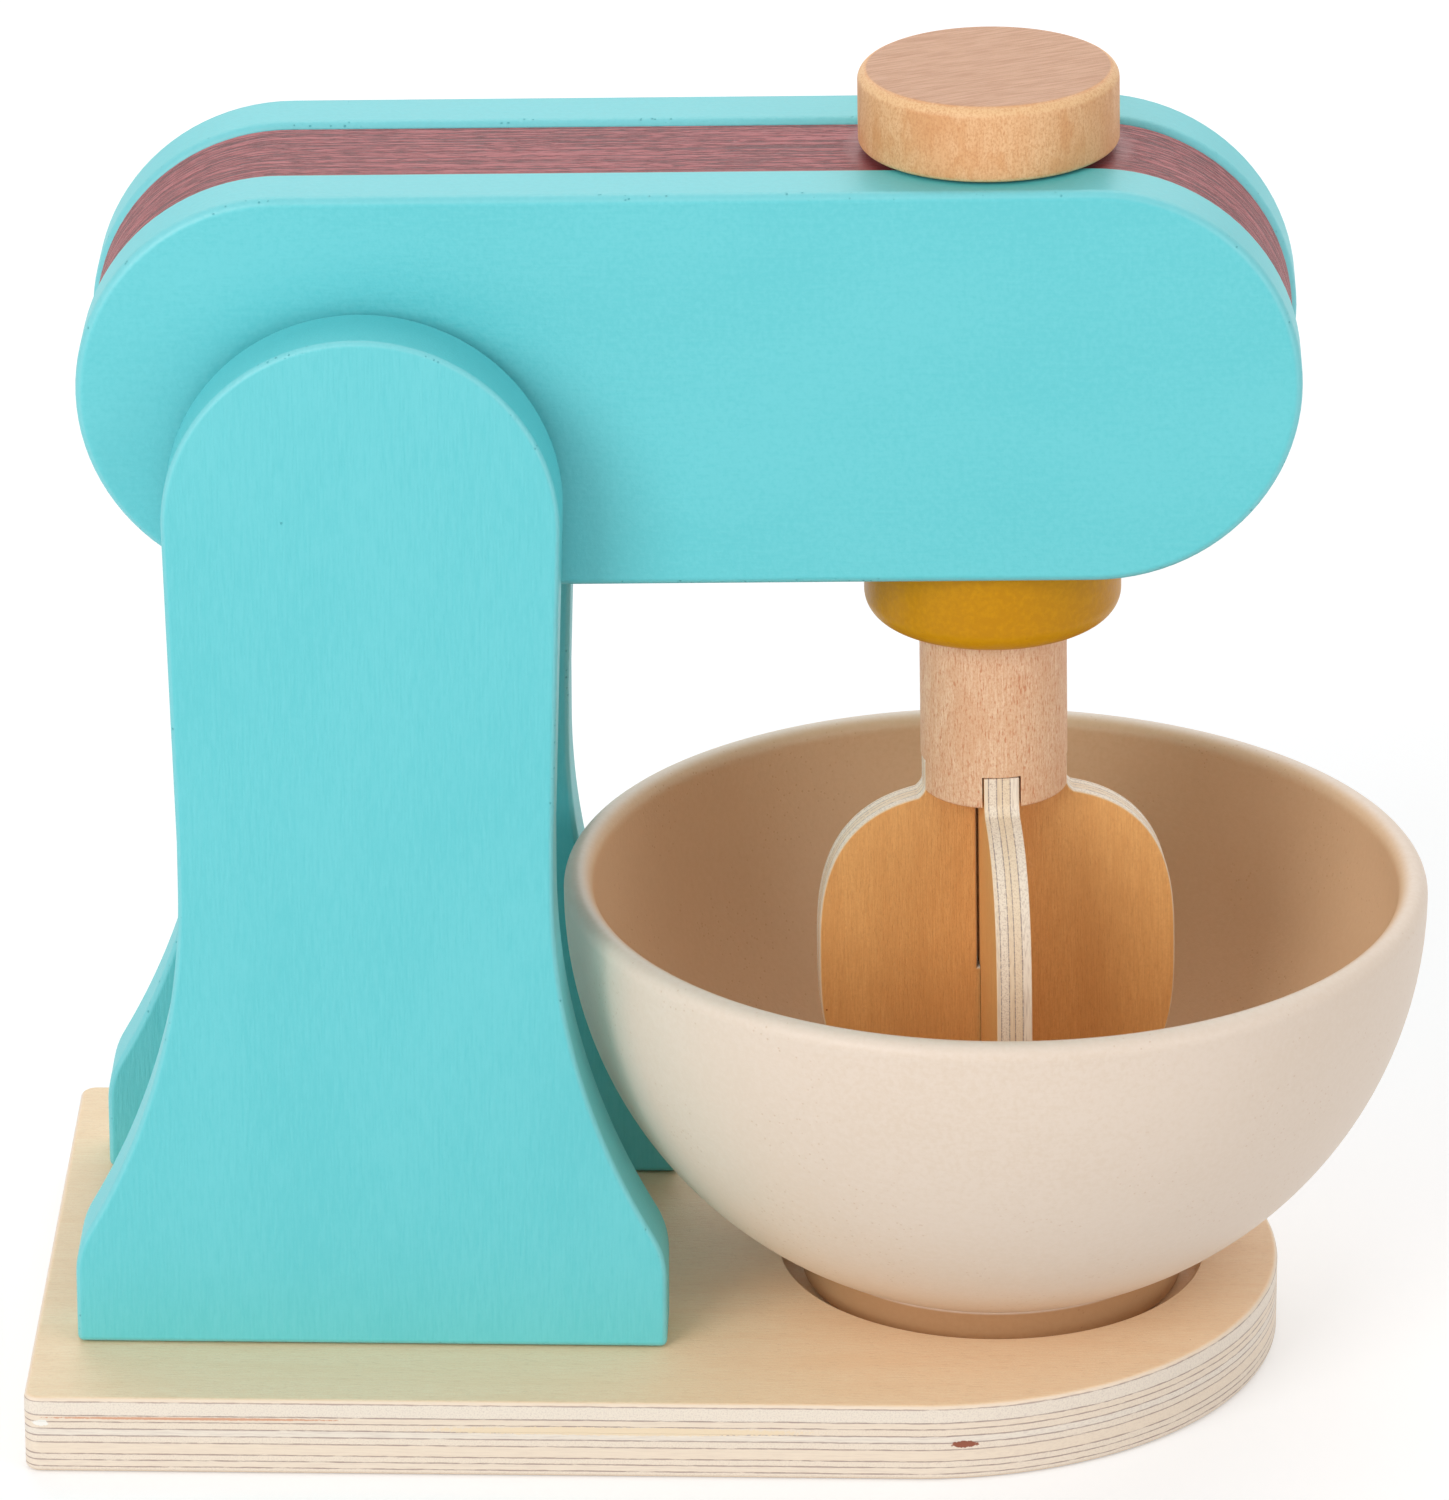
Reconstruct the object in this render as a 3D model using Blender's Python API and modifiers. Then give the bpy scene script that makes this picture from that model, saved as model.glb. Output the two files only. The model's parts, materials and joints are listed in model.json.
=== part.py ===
"""Wooden toy stand mixer: plywood base, two uprights, tilting head with a turning knob, whisk and bowl.

Metres, +Z up. X runs along the length with the nose and the bowl at +X, and Y is across.
The origin is on the floor, under the middle of the object's box.
"""

import math

import bmesh
import bpy

# Fits that all pieces share.
SEAT_GAP = 0.0003  # between two pieces that touch or are glued
RUNNING_GAP = 0.0004  # between two pieces that turn against each other
CUT_OVERRUN = 0.002  # how far a cutter runs past the face it opens
MERGE = 0.00001  # points nearer than this are one point

# Base board.
BASE_LENGTH = 0.230
BASE_WIDTH = 0.136
BASE_THICKNESS = 0.015
BASE_CORNER = 0.003
BASE_ARRIS = 0.001
BOWL_FROM_END = 0.1764
BOWL_RECESS_RADIUS = 0.0395
BOWL_RECESS_DEPTH = 0.004

# Uprights, seen from the side: a foot, a hollow flare, a waist and a round top.
PIVOT_FROM_END = 0.0625
PIVOT_HEIGHT = 0.1615  # above the base's top
UPRIGHT_THICKNESS = 0.015
UPRIGHT_ARRIS = 0.0012
UPRIGHT_TOP_RADIUS = 0.0353
FOOT_WIDTH = 0.1085
FOOT_SIDE_HEIGHT = 0.0185
WAIST_WIDTH = 0.068
WAIST_LOW = 0.090
WAIST_HIGH = 0.100

# Head: three layers glued side by side, with full round ends.
HEAD_LENGTH = 0.2195
HEAD_HEIGHT = 0.0745
HEAD_BEHIND_PIVOT = 0.0515
HEAD_BELOW_PIVOT = 0.0185
HEAD_REST_TILT = math.radians(1)  # nose up, where the stop dowel holds the head
PLANK_THICKNESS = 0.014
PLANK_ARRIS = 0.0017
CORE_THICKNESS = 0.026
CORE_RECESS = 0.0009
CORE_ARRIS = 0.0006

# Pivot and stop.
PIVOT_DOWEL_RADIUS = 0.006
PIVOT_HOLE_DEPTH = 0.009
WASHER_THICKNESS = 0.0024
WASHER_RADIUS = 0.011
STOP_DOWEL_RADIUS = 0.005
STOP_HOLE_DEPTH = 0.008
STOP_AHEAD_OF_PIVOT = 0.022
DOWEL_CHAMFER = 0.0008

# Screws that hold the uprights from below.
SCREW_SPACING = 0.070
SCREW_LENGTH = 0.040
SCREW_RADIUS = 0.002
SCREW_HEAD_RADIUS = 0.004
SCREW_HEAD_HEIGHT = 0.0025
SCREW_SUNK = 0.0005
SCREW_POINT_LENGTH = 0.006
SCREW_POINT_RADIUS = 0.0004
DRIVER_SLOT_LENGTH = 0.0044
DRIVER_SLOT_WIDTH = 0.001
DRIVER_SLOT_DEPTH = 0.0015

# Knob, dowel and collar, which turn together.
SPINDLE_FROM_PIVOT = 0.1123
DRIVE_DOWEL_RADIUS = 0.006
DRIVE_DOWEL_BELOW_COLLAR = 0.0125
KNOB_RADIUS = 0.0235
KNOB_HEIGHT = 0.014
KNOB_TOP_ROUND = 0.002
KNOB_BOTTOM_ROUND = 0.001
KNOB_HOLE_DEPTH = 0.009
COLLAR_RADIUS = 0.0235
COLLAR_HEIGHT = 0.0157
COLLAR_LOWER_ROUND = 0.0048
COLLAR_UPPER_ROUND = 0.0008

# Whisk: a shaft and two half-lapped blades, in a frame with Z on the spindle and zero at the shaft's top.
WHISK_TURN = math.radians(6)
SHAFT_RADIUS = 0.0135
SHAFT_LENGTH = 0.0337
SHAFT_ARRIS = 0.0005
SHAFT_SLOT_DEPTH = 0.0062
BLADE_THICKNESS = 0.0065
BLADE_HALF_WIDTH = 0.033
BLADE_HEIGHT = 0.066
BLADE_ROUNDNESS = 2.4  # 2 would be an ellipse
BLADE_TAB_WIDTH = 0.0262
BLADE_ARRIS = 0.0004
BLADE_SLIT_SPARE = 0.0006
BLADE_SLIT_PAST_MIDDLE = 0.0026

# Bowl, turned.
BOWL_RADIUS = 0.0798
BOWL_HEIGHT = 0.0807
BOWL_WALL = 0.0054
BOWL_WIDEST_BELOW_RIM = 0.003
BOWL_FOOT_RADIUS = 0.0355
BOWL_FOOT_HEIGHT = 0.007
BOWL_FOOT_ARRIS = 0.0008
BOWL_FLOOR_THICKNESS = 0.0065
BOWL_FOOT_HOLLOW = 0.0012

# How finely round things are cut up.
ROUND_STEPS = 32
SCREW_STEPS = 16
KNOB_STEPS = 48
BOWL_STEPS = 56
BOWL_CURVE_STEPS = 10
END_STEPS = 20
FLARE_STEPS = 8
BLADE_STEPS = 40
CORNER_STEPS = 3

# Places that follow from the sizes above.
OVERALL_LENGTH = BOWL_FROM_END + BOWL_RADIUS
BASE_LEFT = -OVERALL_LENGTH / 2
PIVOT_X = BASE_LEFT + PIVOT_FROM_END
PIVOT_Z = BASE_THICKNESS + PIVOT_HEIGHT
BOWL_X = BASE_LEFT + BOWL_FROM_END
HEAD_THICKNESS = CORE_THICKNESS + 2 * (PLANK_THICKNESS + SEAT_GAP)
UPRIGHT_INNER_Y = HEAD_THICKNESS / 2 + WASHER_THICKNESS + 2 * SEAT_GAP
UPRIGHT_Y = UPRIGHT_INNER_Y + UPRIGHT_THICKNESS / 2
SHAFT_BORE_DEPTH = DRIVE_DOWEL_BELOW_COLLAR + SEAT_GAP


def clear_scene():
    for obj in list(bpy.data.objects):
        bpy.data.objects.remove(obj, do_unlink=True)


def new_collection(name, hidden=False):
    collection = bpy.data.collections.new(name)
    bpy.context.scene.collection.children.link(collection)
    collection.hide_render = hidden
    return collection


clear_scene()
PARTS = new_collection("toy_stand_mixer")
CUTTERS = new_collection("cutters", hidden=True)


def material(name, color, roughness, metallic=0.0):
    made = bpy.data.materials.new(name)
    made.use_nodes = True
    shader = made.node_tree.nodes["Principled BSDF"]
    shader.inputs["Base Color"].default_value = (*color, 1.0)
    shader.inputs["Roughness"].default_value = roughness
    shader.inputs["Metallic"].default_value = metallic
    return made


def place(obj, at, turn=(0.0, 0.0, 0.0), parent=None):
    obj.location = at
    obj.rotation_euler = turn
    obj.parent = parent
    return obj


def axis_empty(name, at, turn=(0.0, 0.0, 0.0), parent=None):
    empty = bpy.data.objects.new(name, None)
    PARTS.objects.link(empty)
    return place(empty, at, turn, parent)


def finish(obj, finish_material, arris_angle=40):
    """Gives a piece its material and smooth round faces."""
    obj.data.materials.clear()
    obj.data.materials.append(finish_material)
    obj.data.shade_smooth()
    obj.data.set_sharp_from_angle(angle=math.radians(arris_angle))
    return obj


def arc(center, radius, start, end, steps):
    """Points from one angle to the other, in degrees, both ends included."""
    angles = [math.radians(start + (end - start) * i / steps) for i in range(steps + 1)]
    return [(center[0] + radius * math.cos(a), center[1] + radius * math.sin(a)) for a in angles]


def plate(name, outline, thickness, arris, finish_material):
    """A flat piece: the outline lies in X and Y, and the thickness is shared by both sides of it along Z."""
    curve = bpy.data.curves.new(name + "_outline", "CURVE")
    curve.dimensions = "2D"
    curve.fill_mode = "BOTH"
    curve.extrude = thickness / 2
    spline = curve.splines.new("POLY")
    spline.points.add(len(outline) - 1)
    for point, (x, y) in zip(spline.points, outline):
        point.co = (x, y, 0.0, 1.0)
    spline.use_cyclic_u = True
    guide = bpy.data.objects.new(name + "_outline", curve)
    PARTS.objects.link(guide)
    bpy.context.view_layer.update()
    mesh = bpy.data.meshes.new_from_object(guide.evaluated_get(bpy.context.evaluated_depsgraph_get()))
    bpy.data.objects.remove(guide, do_unlink=True)
    welded = bmesh.new()
    welded.from_mesh(mesh)
    bmesh.ops.remove_doubles(welded, verts=welded.verts, dist=MERGE)
    welded.to_mesh(mesh)
    welded.free()
    mesh.name = name
    obj = bpy.data.objects.new(name, mesh)
    PARTS.objects.link(obj)
    if arris:
        bevel = obj.modifiers.new("Arris", "BEVEL")
        bevel.width = arris
        bevel.segments = 2
        bevel.limit_method = "ANGLE"
        bevel.angle_limit = math.radians(40)
    return finish(obj, finish_material)


def turned(name, profile, steps, finish_material):
    """A turned piece: the profile's points are (radius, height), running down the outer side."""
    mesh = bpy.data.meshes.new(name)
    closed = profile[0][0] > 0
    count = len(profile)
    edges = [(i, (i + 1) % count) for i in range(count if closed else count - 1)]
    mesh.from_pydata([(r, 0.0, z) for r, z in profile], edges, [])
    obj = bpy.data.objects.new(name, mesh)
    PARTS.objects.link(obj)
    screw = obj.modifiers.new("Turning", "SCREW")
    screw.steps = steps
    screw.render_steps = steps
    screw.use_merge_vertices = True
    screw.merge_threshold = MERGE
    return finish(obj, finish_material)


def box_cutter(name, size, at, turn=(0.0, 0.0, 0.0), parent=None):
    cutter = bmesh.new()
    bmesh.ops.create_cube(cutter, size=1.0)
    bmesh.ops.scale(cutter, vec=size, verts=cutter.verts)
    return cutter_object(name, cutter, at, turn, parent)


def round_cutter(
    name, radius, length, at, turn=(0.0, 0.0, 0.0), parent=None, end_radius=None, steps=ROUND_STEPS
):
    cutter = bmesh.new()
    bmesh.ops.create_cone(
        cutter,
        cap_ends=True,
        segments=steps,
        radius1=radius,
        radius2=radius if end_radius is None else end_radius,
        depth=length,
    )
    return cutter_object(name, cutter, at, turn, parent)


def cutter_object(name, shape, at, turn, parent):
    mesh = bpy.data.meshes.new(name)
    shape.to_mesh(mesh)
    shape.free()
    obj = bpy.data.objects.new(name, mesh)
    CUTTERS.objects.link(obj)
    obj.hide_render = True
    obj.display_type = "WIRE"
    return place(obj, at, turn, parent)


def cut(obj, *cutters):
    for cutter in cutters:
        boolean = obj.modifiers.new("Cut " + cutter.name, "BOOLEAN")
        boolean.operation = "DIFFERENCE"
        boolean.solver = "EXACT"
        boolean.object = cutter
    return obj


def stadium(left, right, bottom, top):
    """An outline with full round ends."""
    radius = (top - bottom) / 2
    middle = (top + bottom) / 2
    return arc((right - radius, middle), radius, -90, 90, END_STEPS) + arc(
        (left + radius, middle), radius, 90, 270, END_STEPS
    )


def upright_outline():
    """Half of the side view from the foot up to the crown, and its mirror image. Zero is the underside."""
    foot = FOOT_WIDTH / 2
    waist = WAIST_WIDTH / 2
    flare_width = foot - waist
    flare_height = WAIST_LOW - FOOT_SIDE_HEIGHT
    flare_radius = (flare_width**2 + flare_height**2) / (2 * flare_width)
    flare_angle = math.degrees(math.asin(flare_height / flare_radius))
    center = (waist + flare_radius, WAIST_LOW)
    half = [(foot, 0.0)] + arc(center, flare_radius, 180 + flare_angle, 180, FLARE_STEPS)
    below = PIVOT_HEIGHT - WAIST_HIGH
    half.append((waist, WAIST_HIGH))
    reach = math.hypot(waist, below)
    touch = math.degrees(math.acos(UPRIGHT_TOP_RADIUS / reach) - math.atan2(below, waist))
    half += arc((0.0, PIVOT_HEIGHT), UPRIGHT_TOP_RADIUS, touch, 90, END_STEPS // 2)
    return half + [(-x, z) for x, z in reversed(half[:-1])]


def base_outline():
    half = BASE_WIDTH / 2
    right = BASE_LEFT + BASE_LENGTH
    inner = BASE_LEFT + BASE_CORNER
    return (
        arc((right - half, 0.0), half, -90, 90, 2 * END_STEPS)
        + arc((inner, half - BASE_CORNER), BASE_CORNER, 90, 180, CORNER_STEPS)
        + arc((inner, BASE_CORNER - half), BASE_CORNER, 180, 270, CORNER_STEPS)
    )


def dowel(name, radius, length, finish_material):
    """A round rod with chamfered ends, centred on its origin."""
    top = length / 2
    profile = [
        (0.0, top),
        (radius - DOWEL_CHAMFER, top),
        (radius, top - DOWEL_CHAMFER),
        (radius, DOWEL_CHAMFER - top),
        (radius - DOWEL_CHAMFER, -top),
        (0.0, -top),
    ]
    return turned(name, profile, ROUND_STEPS, finish_material)


def make_stand(plywood, turquoise, beech, steel):
    board = plate("base_board", base_outline(), BASE_THICKNESS, BASE_ARRIS, plywood)
    place(board, (0.0, 0.0, BASE_THICKNESS / 2))
    cut(
        board,
        round_cutter(
            "bowl_recess_cut",
            BOWL_RECESS_RADIUS,
            BOWL_RECESS_DEPTH + CUT_OVERRUN,
            (BOWL_X, 0.0, BASE_THICKNESS + (CUT_OVERRUN - BOWL_RECESS_DEPTH) / 2),
            steps=BOWL_STEPS,
        ),
    )
    along_y = (math.pi / 2, 0.0, 0.0)
    foot_z = BASE_THICKNESS + SEAT_GAP
    stop_below = HEAD_BELOW_PIVOT + SEAT_GAP + STOP_DOWEL_RADIUS
    stop_x = PIVOT_X + STOP_AHEAD_OF_PIVOT * math.cos(HEAD_REST_TILT) + stop_below * math.sin(HEAD_REST_TILT)
    stop_z = PIVOT_Z + STOP_AHEAD_OF_PIVOT * math.sin(HEAD_REST_TILT) - stop_below * math.cos(HEAD_REST_TILT)
    screw_number = 0
    for name, side in (("front_upright", -1), ("rear_upright", 1)):
        upright = plate(name, upright_outline(), UPRIGHT_THICKNESS, UPRIGHT_ARRIS, turquoise)
        place(upright, (PIVOT_X, side * UPRIGHT_Y, foot_z), along_y)
        for what, radius, depth, x, z in (
            ("pivot_hole", PIVOT_DOWEL_RADIUS, PIVOT_HOLE_DEPTH, PIVOT_X, PIVOT_Z),
            ("stop_hole", STOP_DOWEL_RADIUS, STOP_HOLE_DEPTH, stop_x, stop_z),
        ):
            y = side * (UPRIGHT_INNER_Y + (depth - CUT_OVERRUN) / 2)
            hole = round_cutter(f"{name}_{what}", radius + SEAT_GAP, depth + CUT_OVERRUN, (x, y, z), along_y)
            cut(upright, hole)
        for offset in (-SCREW_SPACING / 2, SCREW_SPACING / 2):
            screw_number += 1
            at = (PIVOT_X + offset, side * UPRIGHT_Y)
            fit_screw(f"upright_screw_{screw_number}", at, board, upright, steel)
    pivot_length = 2 * (UPRIGHT_INNER_Y + PIVOT_HOLE_DEPTH - SEAT_GAP)
    place(dowel("pivot_dowel", PIVOT_DOWEL_RADIUS, pivot_length, beech), (PIVOT_X, 0.0, PIVOT_Z), along_y)
    stop_length = 2 * (UPRIGHT_INNER_Y + STOP_HOLE_DEPTH - SEAT_GAP)
    place(dowel("stop_dowel", STOP_DOWEL_RADIUS, stop_length, beech), (stop_x, 0.0, stop_z), along_y)


def fit_screw(name, at, board, upright, steel):
    """A countersunk wood screw driven up through the board into the foot, with its hole in both."""
    head_top = SCREW_SUNK + SCREW_HEAD_HEIGHT
    tip = SCREW_SUNK + SCREW_LENGTH
    profile = [
        (0.0, tip),
        (SCREW_POINT_RADIUS, tip),
        (SCREW_RADIUS, tip - SCREW_POINT_LENGTH),
        (SCREW_RADIUS, head_top),
        (SCREW_HEAD_RADIUS, SCREW_SUNK),
        (0.0, SCREW_SUNK),
    ]
    screw = turned(name, profile, SCREW_STEPS, steel)
    place(screw, (*at, 0.0))
    slots = []
    for which, turn in (("a", 0.0), ("b", math.pi / 2)):
        size = (DRIVER_SLOT_LENGTH, DRIVER_SLOT_WIDTH, DRIVER_SLOT_DEPTH + CUT_OVERRUN)
        slot_z = SCREW_SUNK + (DRIVER_SLOT_DEPTH - CUT_OVERRUN) / 2
        slots.append(box_cutter(f"{name}_slot_{which}", size, (*at, slot_z), (0.0, 0.0, turn)))
    cut(screw, *slots)
    hole_radius = SCREW_RADIUS + SEAT_GAP
    hole_length = tip + SEAT_GAP + CUT_OVERRUN
    hole_at = (*at, hole_length / 2 - CUT_OVERRUN)
    hole = round_cutter(name + "_hole", hole_radius, hole_length, hole_at, steps=SCREW_STEPS)
    sink_slope = (SCREW_HEAD_RADIUS - SCREW_RADIUS) / SCREW_HEAD_HEIGHT
    sink_low = -CUT_OVERRUN
    sink_high = head_top + SEAT_GAP
    low_radius = SCREW_RADIUS + SEAT_GAP + (head_top - sink_low) * sink_slope
    high_radius = low_radius - (sink_high - sink_low) * sink_slope
    sink = round_cutter(
        name + "_countersink",
        low_radius,
        sink_high - sink_low,
        (*at, (sink_low + sink_high) / 2),
        end_radius=high_radius,
        steps=SCREW_STEPS,
    )
    cut(board, hole, sink)
    cut(upright, hole)


def make_washers(beech):
    """Thin rings on the pivot dowel that keep the head off the uprights."""
    for name, side in (("pivot_washer_front", -1), ("pivot_washer_rear", 1)):
        bore = PIVOT_DOWEL_RADIUS + SEAT_GAP
        half = WASHER_THICKNESS / 2
        section = [(WASHER_RADIUS, half), (WASHER_RADIUS, -half), (bore, -half), (bore, half)]
        ring = turned(name, section, ROUND_STEPS, beech)
        y = side * (UPRIGHT_INNER_Y - SEAT_GAP - half)
        place(ring, (PIVOT_X, y, PIVOT_Z), (math.pi / 2, 0.0, 0.0))


def make_head(turquoise, red):
    """The head's pieces hang from an empty on the pivot's axis."""
    pivot = axis_empty("head_pivot_axis", (PIVOT_X, 0.0, PIVOT_Z), (0.0, -HEAD_REST_TILT, 0.0))
    along_y = (math.pi / 2, 0.0, 0.0)
    rear = -HEAD_BEHIND_PIVOT
    nose = rear + HEAD_LENGTH
    low = -HEAD_BELOW_PIVOT
    high = low + HEAD_HEIGHT
    pivot_bore = round_cutter(
        "pivot_bore",
        PIVOT_DOWEL_RADIUS + RUNNING_GAP,
        HEAD_THICKNESS + 2 * CUT_OVERRUN,
        (0.0, 0.0, 0.0),
        along_y,
        pivot,
    )
    plank_y = CORE_THICKNESS / 2 + SEAT_GAP + PLANK_THICKNESS / 2
    for name, y in (("head_front_plank", -plank_y), ("head_rear_plank", plank_y)):
        plank = plate(name, stadium(rear, nose, low, high), PLANK_THICKNESS, PLANK_ARRIS, turquoise)
        place(plank, (0.0, y, 0.0), along_y, pivot)
        cut(plank, pivot_bore)
    inset = CORE_RECESS
    core_shape = stadium(rear + inset, nose - inset, low + inset, high - inset)
    core = plate("head_core", core_shape, CORE_THICKNESS, CORE_ARRIS, red)
    place(core, (0.0, 0.0, 0.0), along_y, pivot)
    spindle_bore = round_cutter(
        "spindle_bore",
        DRIVE_DOWEL_RADIUS + RUNNING_GAP,
        HEAD_HEIGHT + 2 * CUT_OVERRUN,
        (SPINDLE_FROM_PIVOT, 0.0, (low + high) / 2),
        parent=pivot,
    )
    cut(core, pivot_bore, spindle_bore)
    return pivot


def make_drive(pivot, maple, mustard):
    """Knob, drive dowel and collar, on an empty at the head's underside on the spindle's axis."""
    spindle = axis_empty("spindle_axis", (SPINDLE_FROM_PIVOT, 0.0, -HEAD_BELOW_PIVOT), parent=pivot)
    hole = DRIVE_DOWEL_RADIUS + SEAT_GAP
    low = HEAD_HEIGHT + RUNNING_GAP
    high = low + KNOB_HEIGHT
    top_center = (KNOB_RADIUS - KNOB_TOP_ROUND, high - KNOB_TOP_ROUND)
    bottom_center = (KNOB_RADIUS - KNOB_BOTTOM_ROUND, low + KNOB_BOTTOM_ROUND)
    knob_profile = [(0.0, high)]
    knob_profile += arc(top_center, KNOB_TOP_ROUND, 90, 0, CORNER_STEPS)
    knob_profile += arc(bottom_center, KNOB_BOTTOM_ROUND, 0, -90, CORNER_STEPS)
    knob_profile += [(hole, low), (hole, low + KNOB_HOLE_DEPTH), (0.0, low + KNOB_HOLE_DEPTH)]
    place(turned("knob", knob_profile, KNOB_STEPS, maple), (0.0, 0.0, 0.0), parent=spindle)

    high = -RUNNING_GAP
    low = high - COLLAR_HEIGHT
    upper_center = (COLLAR_RADIUS - COLLAR_UPPER_ROUND, high - COLLAR_UPPER_ROUND)
    lower_center = (COLLAR_RADIUS - COLLAR_LOWER_ROUND, low + COLLAR_LOWER_ROUND)
    collar_profile = [(hole, high)]
    collar_profile += arc(upper_center, COLLAR_UPPER_ROUND, 90, 0, CORNER_STEPS)
    collar_profile += arc(lower_center, COLLAR_LOWER_ROUND, 0, -90, 2 * CORNER_STEPS)
    collar_profile += [(hole, low)]
    place(turned("collar", collar_profile, KNOB_STEPS, mustard), (0.0, 0.0, 0.0), parent=spindle)

    top = HEAD_HEIGHT + RUNNING_GAP + KNOB_HOLE_DEPTH - SEAT_GAP
    bottom = low - DRIVE_DOWEL_BELOW_COLLAR
    rod = dowel("drive_dowel", DRIVE_DOWEL_RADIUS, top - bottom, maple)
    place(rod, (0.0, 0.0, (top + bottom) / 2), parent=spindle)
    return spindle, low


def blade_outline(tab_top, body_top):
    """A rounded body with a tab that goes up into the shaft's slot."""
    half_height = BLADE_HEIGHT / 2
    middle = body_top - half_height
    tab = BLADE_TAB_WIDTH / 2
    outline = [(-tab, tab_top), (tab, tab_top)]
    for i in range(BLADE_STEPS + 1):
        angle = math.pi / 2 - 2 * math.pi * i / BLADE_STEPS
        across = math.copysign(abs(math.cos(angle)) ** (2 / BLADE_ROUNDNESS), math.cos(angle))
        up = math.copysign(abs(math.sin(angle)) ** (2 / BLADE_ROUNDNESS), math.sin(angle))
        x = BLADE_HALF_WIDTH * across
        if up < 0 or abs(x) > tab:
            outline.append((x, middle + half_height * up))
    return outline


def make_whisk(spindle, collar_low, maple, plywood):
    """Shaft and blades, on an empty at the shaft's top, turned a little as in use."""
    axis = axis_empty("whisk_axis", (0.0, 0.0, collar_low - SEAT_GAP), (0.0, 0.0, WHISK_TURN), spindle)
    bore = DRIVE_DOWEL_RADIUS + RUNNING_GAP
    bottom = -SHAFT_LENGTH
    profile = [
        (0.0, -SHAFT_BORE_DEPTH),
        (bore, -SHAFT_BORE_DEPTH),
        (bore, 0.0),
        (SHAFT_RADIUS - SHAFT_ARRIS, 0.0),
        (SHAFT_RADIUS, -SHAFT_ARRIS),
        (SHAFT_RADIUS, bottom + SHAFT_ARRIS),
        (SHAFT_RADIUS - SHAFT_ARRIS, bottom),
        (0.0, bottom),
    ]
    shaft = place(turned("whisk_shaft", profile, ROUND_STEPS, maple), (0.0, 0.0, 0.0), parent=axis)
    slot_top = bottom + SHAFT_SLOT_DEPTH
    slot_size = (
        2 * (SHAFT_RADIUS + CUT_OVERRUN),
        BLADE_THICKNESS + 2 * SEAT_GAP,
        SHAFT_SLOT_DEPTH + CUT_OVERRUN,
    )
    slot_z = slot_top - slot_size[2] / 2
    for which, turn in (("side", 0.0), ("front", math.pi / 2)):
        cut(shaft, box_cutter(f"shaft_slot_{which}", slot_size, (0.0, 0.0, slot_z), (0.0, 0.0, turn), axis))

    tab_top = slot_top - SEAT_GAP
    body_top = bottom - SEAT_GAP
    body_low = body_top - BLADE_HEIGHT
    lap = body_top - BLADE_HEIGHT / 2 - BLADE_SLIT_PAST_MIDDLE
    slit_width = BLADE_THICKNESS + BLADE_SLIT_SPARE
    upper_slit = tab_top + CUT_OVERRUN - lap + SEAT_GAP / 2
    lower_slit = lap - body_low + CUT_OVERRUN + SEAT_GAP / 2
    blade_depth = BLADE_THICKNESS + 2 * CUT_OVERRUN
    for name, turn, length, z in (
        ("whisk_blade_side", 0.0, upper_slit, tab_top + CUT_OVERRUN - upper_slit / 2),
        ("whisk_blade_front", math.pi / 2, lower_slit, body_low - CUT_OVERRUN + lower_slit / 2),
    ):
        blade = plate(name, blade_outline(tab_top, body_top), BLADE_THICKNESS, BLADE_ARRIS, plywood)
        place(blade, (0.0, 0.0, 0.0), (math.pi / 2, 0.0, turn), axis)
        size = (slit_width, blade_depth, length)
        cut(blade, box_cutter(name + "_slit", size, (0.0, 0.0, z), (0.0, 0.0, turn), axis))


def bowl_profile():
    """Inside from the middle of the floor up to the rim, over it, and down the outside to the foot."""
    widest = BOWL_HEIGHT - BOWL_WIDEST_BELOW_RIM
    lip = BOWL_WALL / 2
    outer_end = math.acos(BOWL_FOOT_RADIUS / BOWL_RADIUS)
    outer_depth = (widest - BOWL_FOOT_HEIGHT) / math.sin(outer_end)

    def wall(radius, depth, end):
        """Part of an ellipse, from the widest place down."""
        angles = [end * i / BOWL_CURVE_STEPS for i in range(BOWL_CURVE_STEPS + 1)]
        return [(radius * math.cos(a), widest - depth * math.sin(a)) for a in angles]

    outer = wall(BOWL_RADIUS, outer_depth, outer_end)
    inner = wall(BOWL_RADIUS - BOWL_WALL, widest - BOWL_FLOOR_THICKNESS, math.pi / 2)
    lip_over = arc((BOWL_RADIUS - lip, BOWL_HEIGHT - lip), lip, 180, 0, 2 * CORNER_STEPS)
    foot_low = [
        (BOWL_FOOT_RADIUS, BOWL_FOOT_ARRIS),
        (BOWL_FOOT_RADIUS - BOWL_FOOT_ARRIS, 0.0),
        (BOWL_FOOT_RADIUS - BOWL_WALL, 0.0),
        (BOWL_FOOT_RADIUS - BOWL_WALL - BOWL_FOOT_HOLLOW, BOWL_FOOT_HOLLOW),
        (0.0, BOWL_FOOT_HOLLOW),
    ]
    inner_up = [(0.0, BOWL_FLOOR_THICKNESS)] + inner[-2::-1]
    return inner_up + lip_over + outer + foot_low


def make_bowl(cream):
    bowl = turned("bowl", bowl_profile(), BOWL_STEPS, cream)
    foot_z = BASE_THICKNESS - BOWL_RECESS_DEPTH + SEAT_GAP
    place(bowl, (BOWL_X, 0.0, foot_z))


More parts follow.
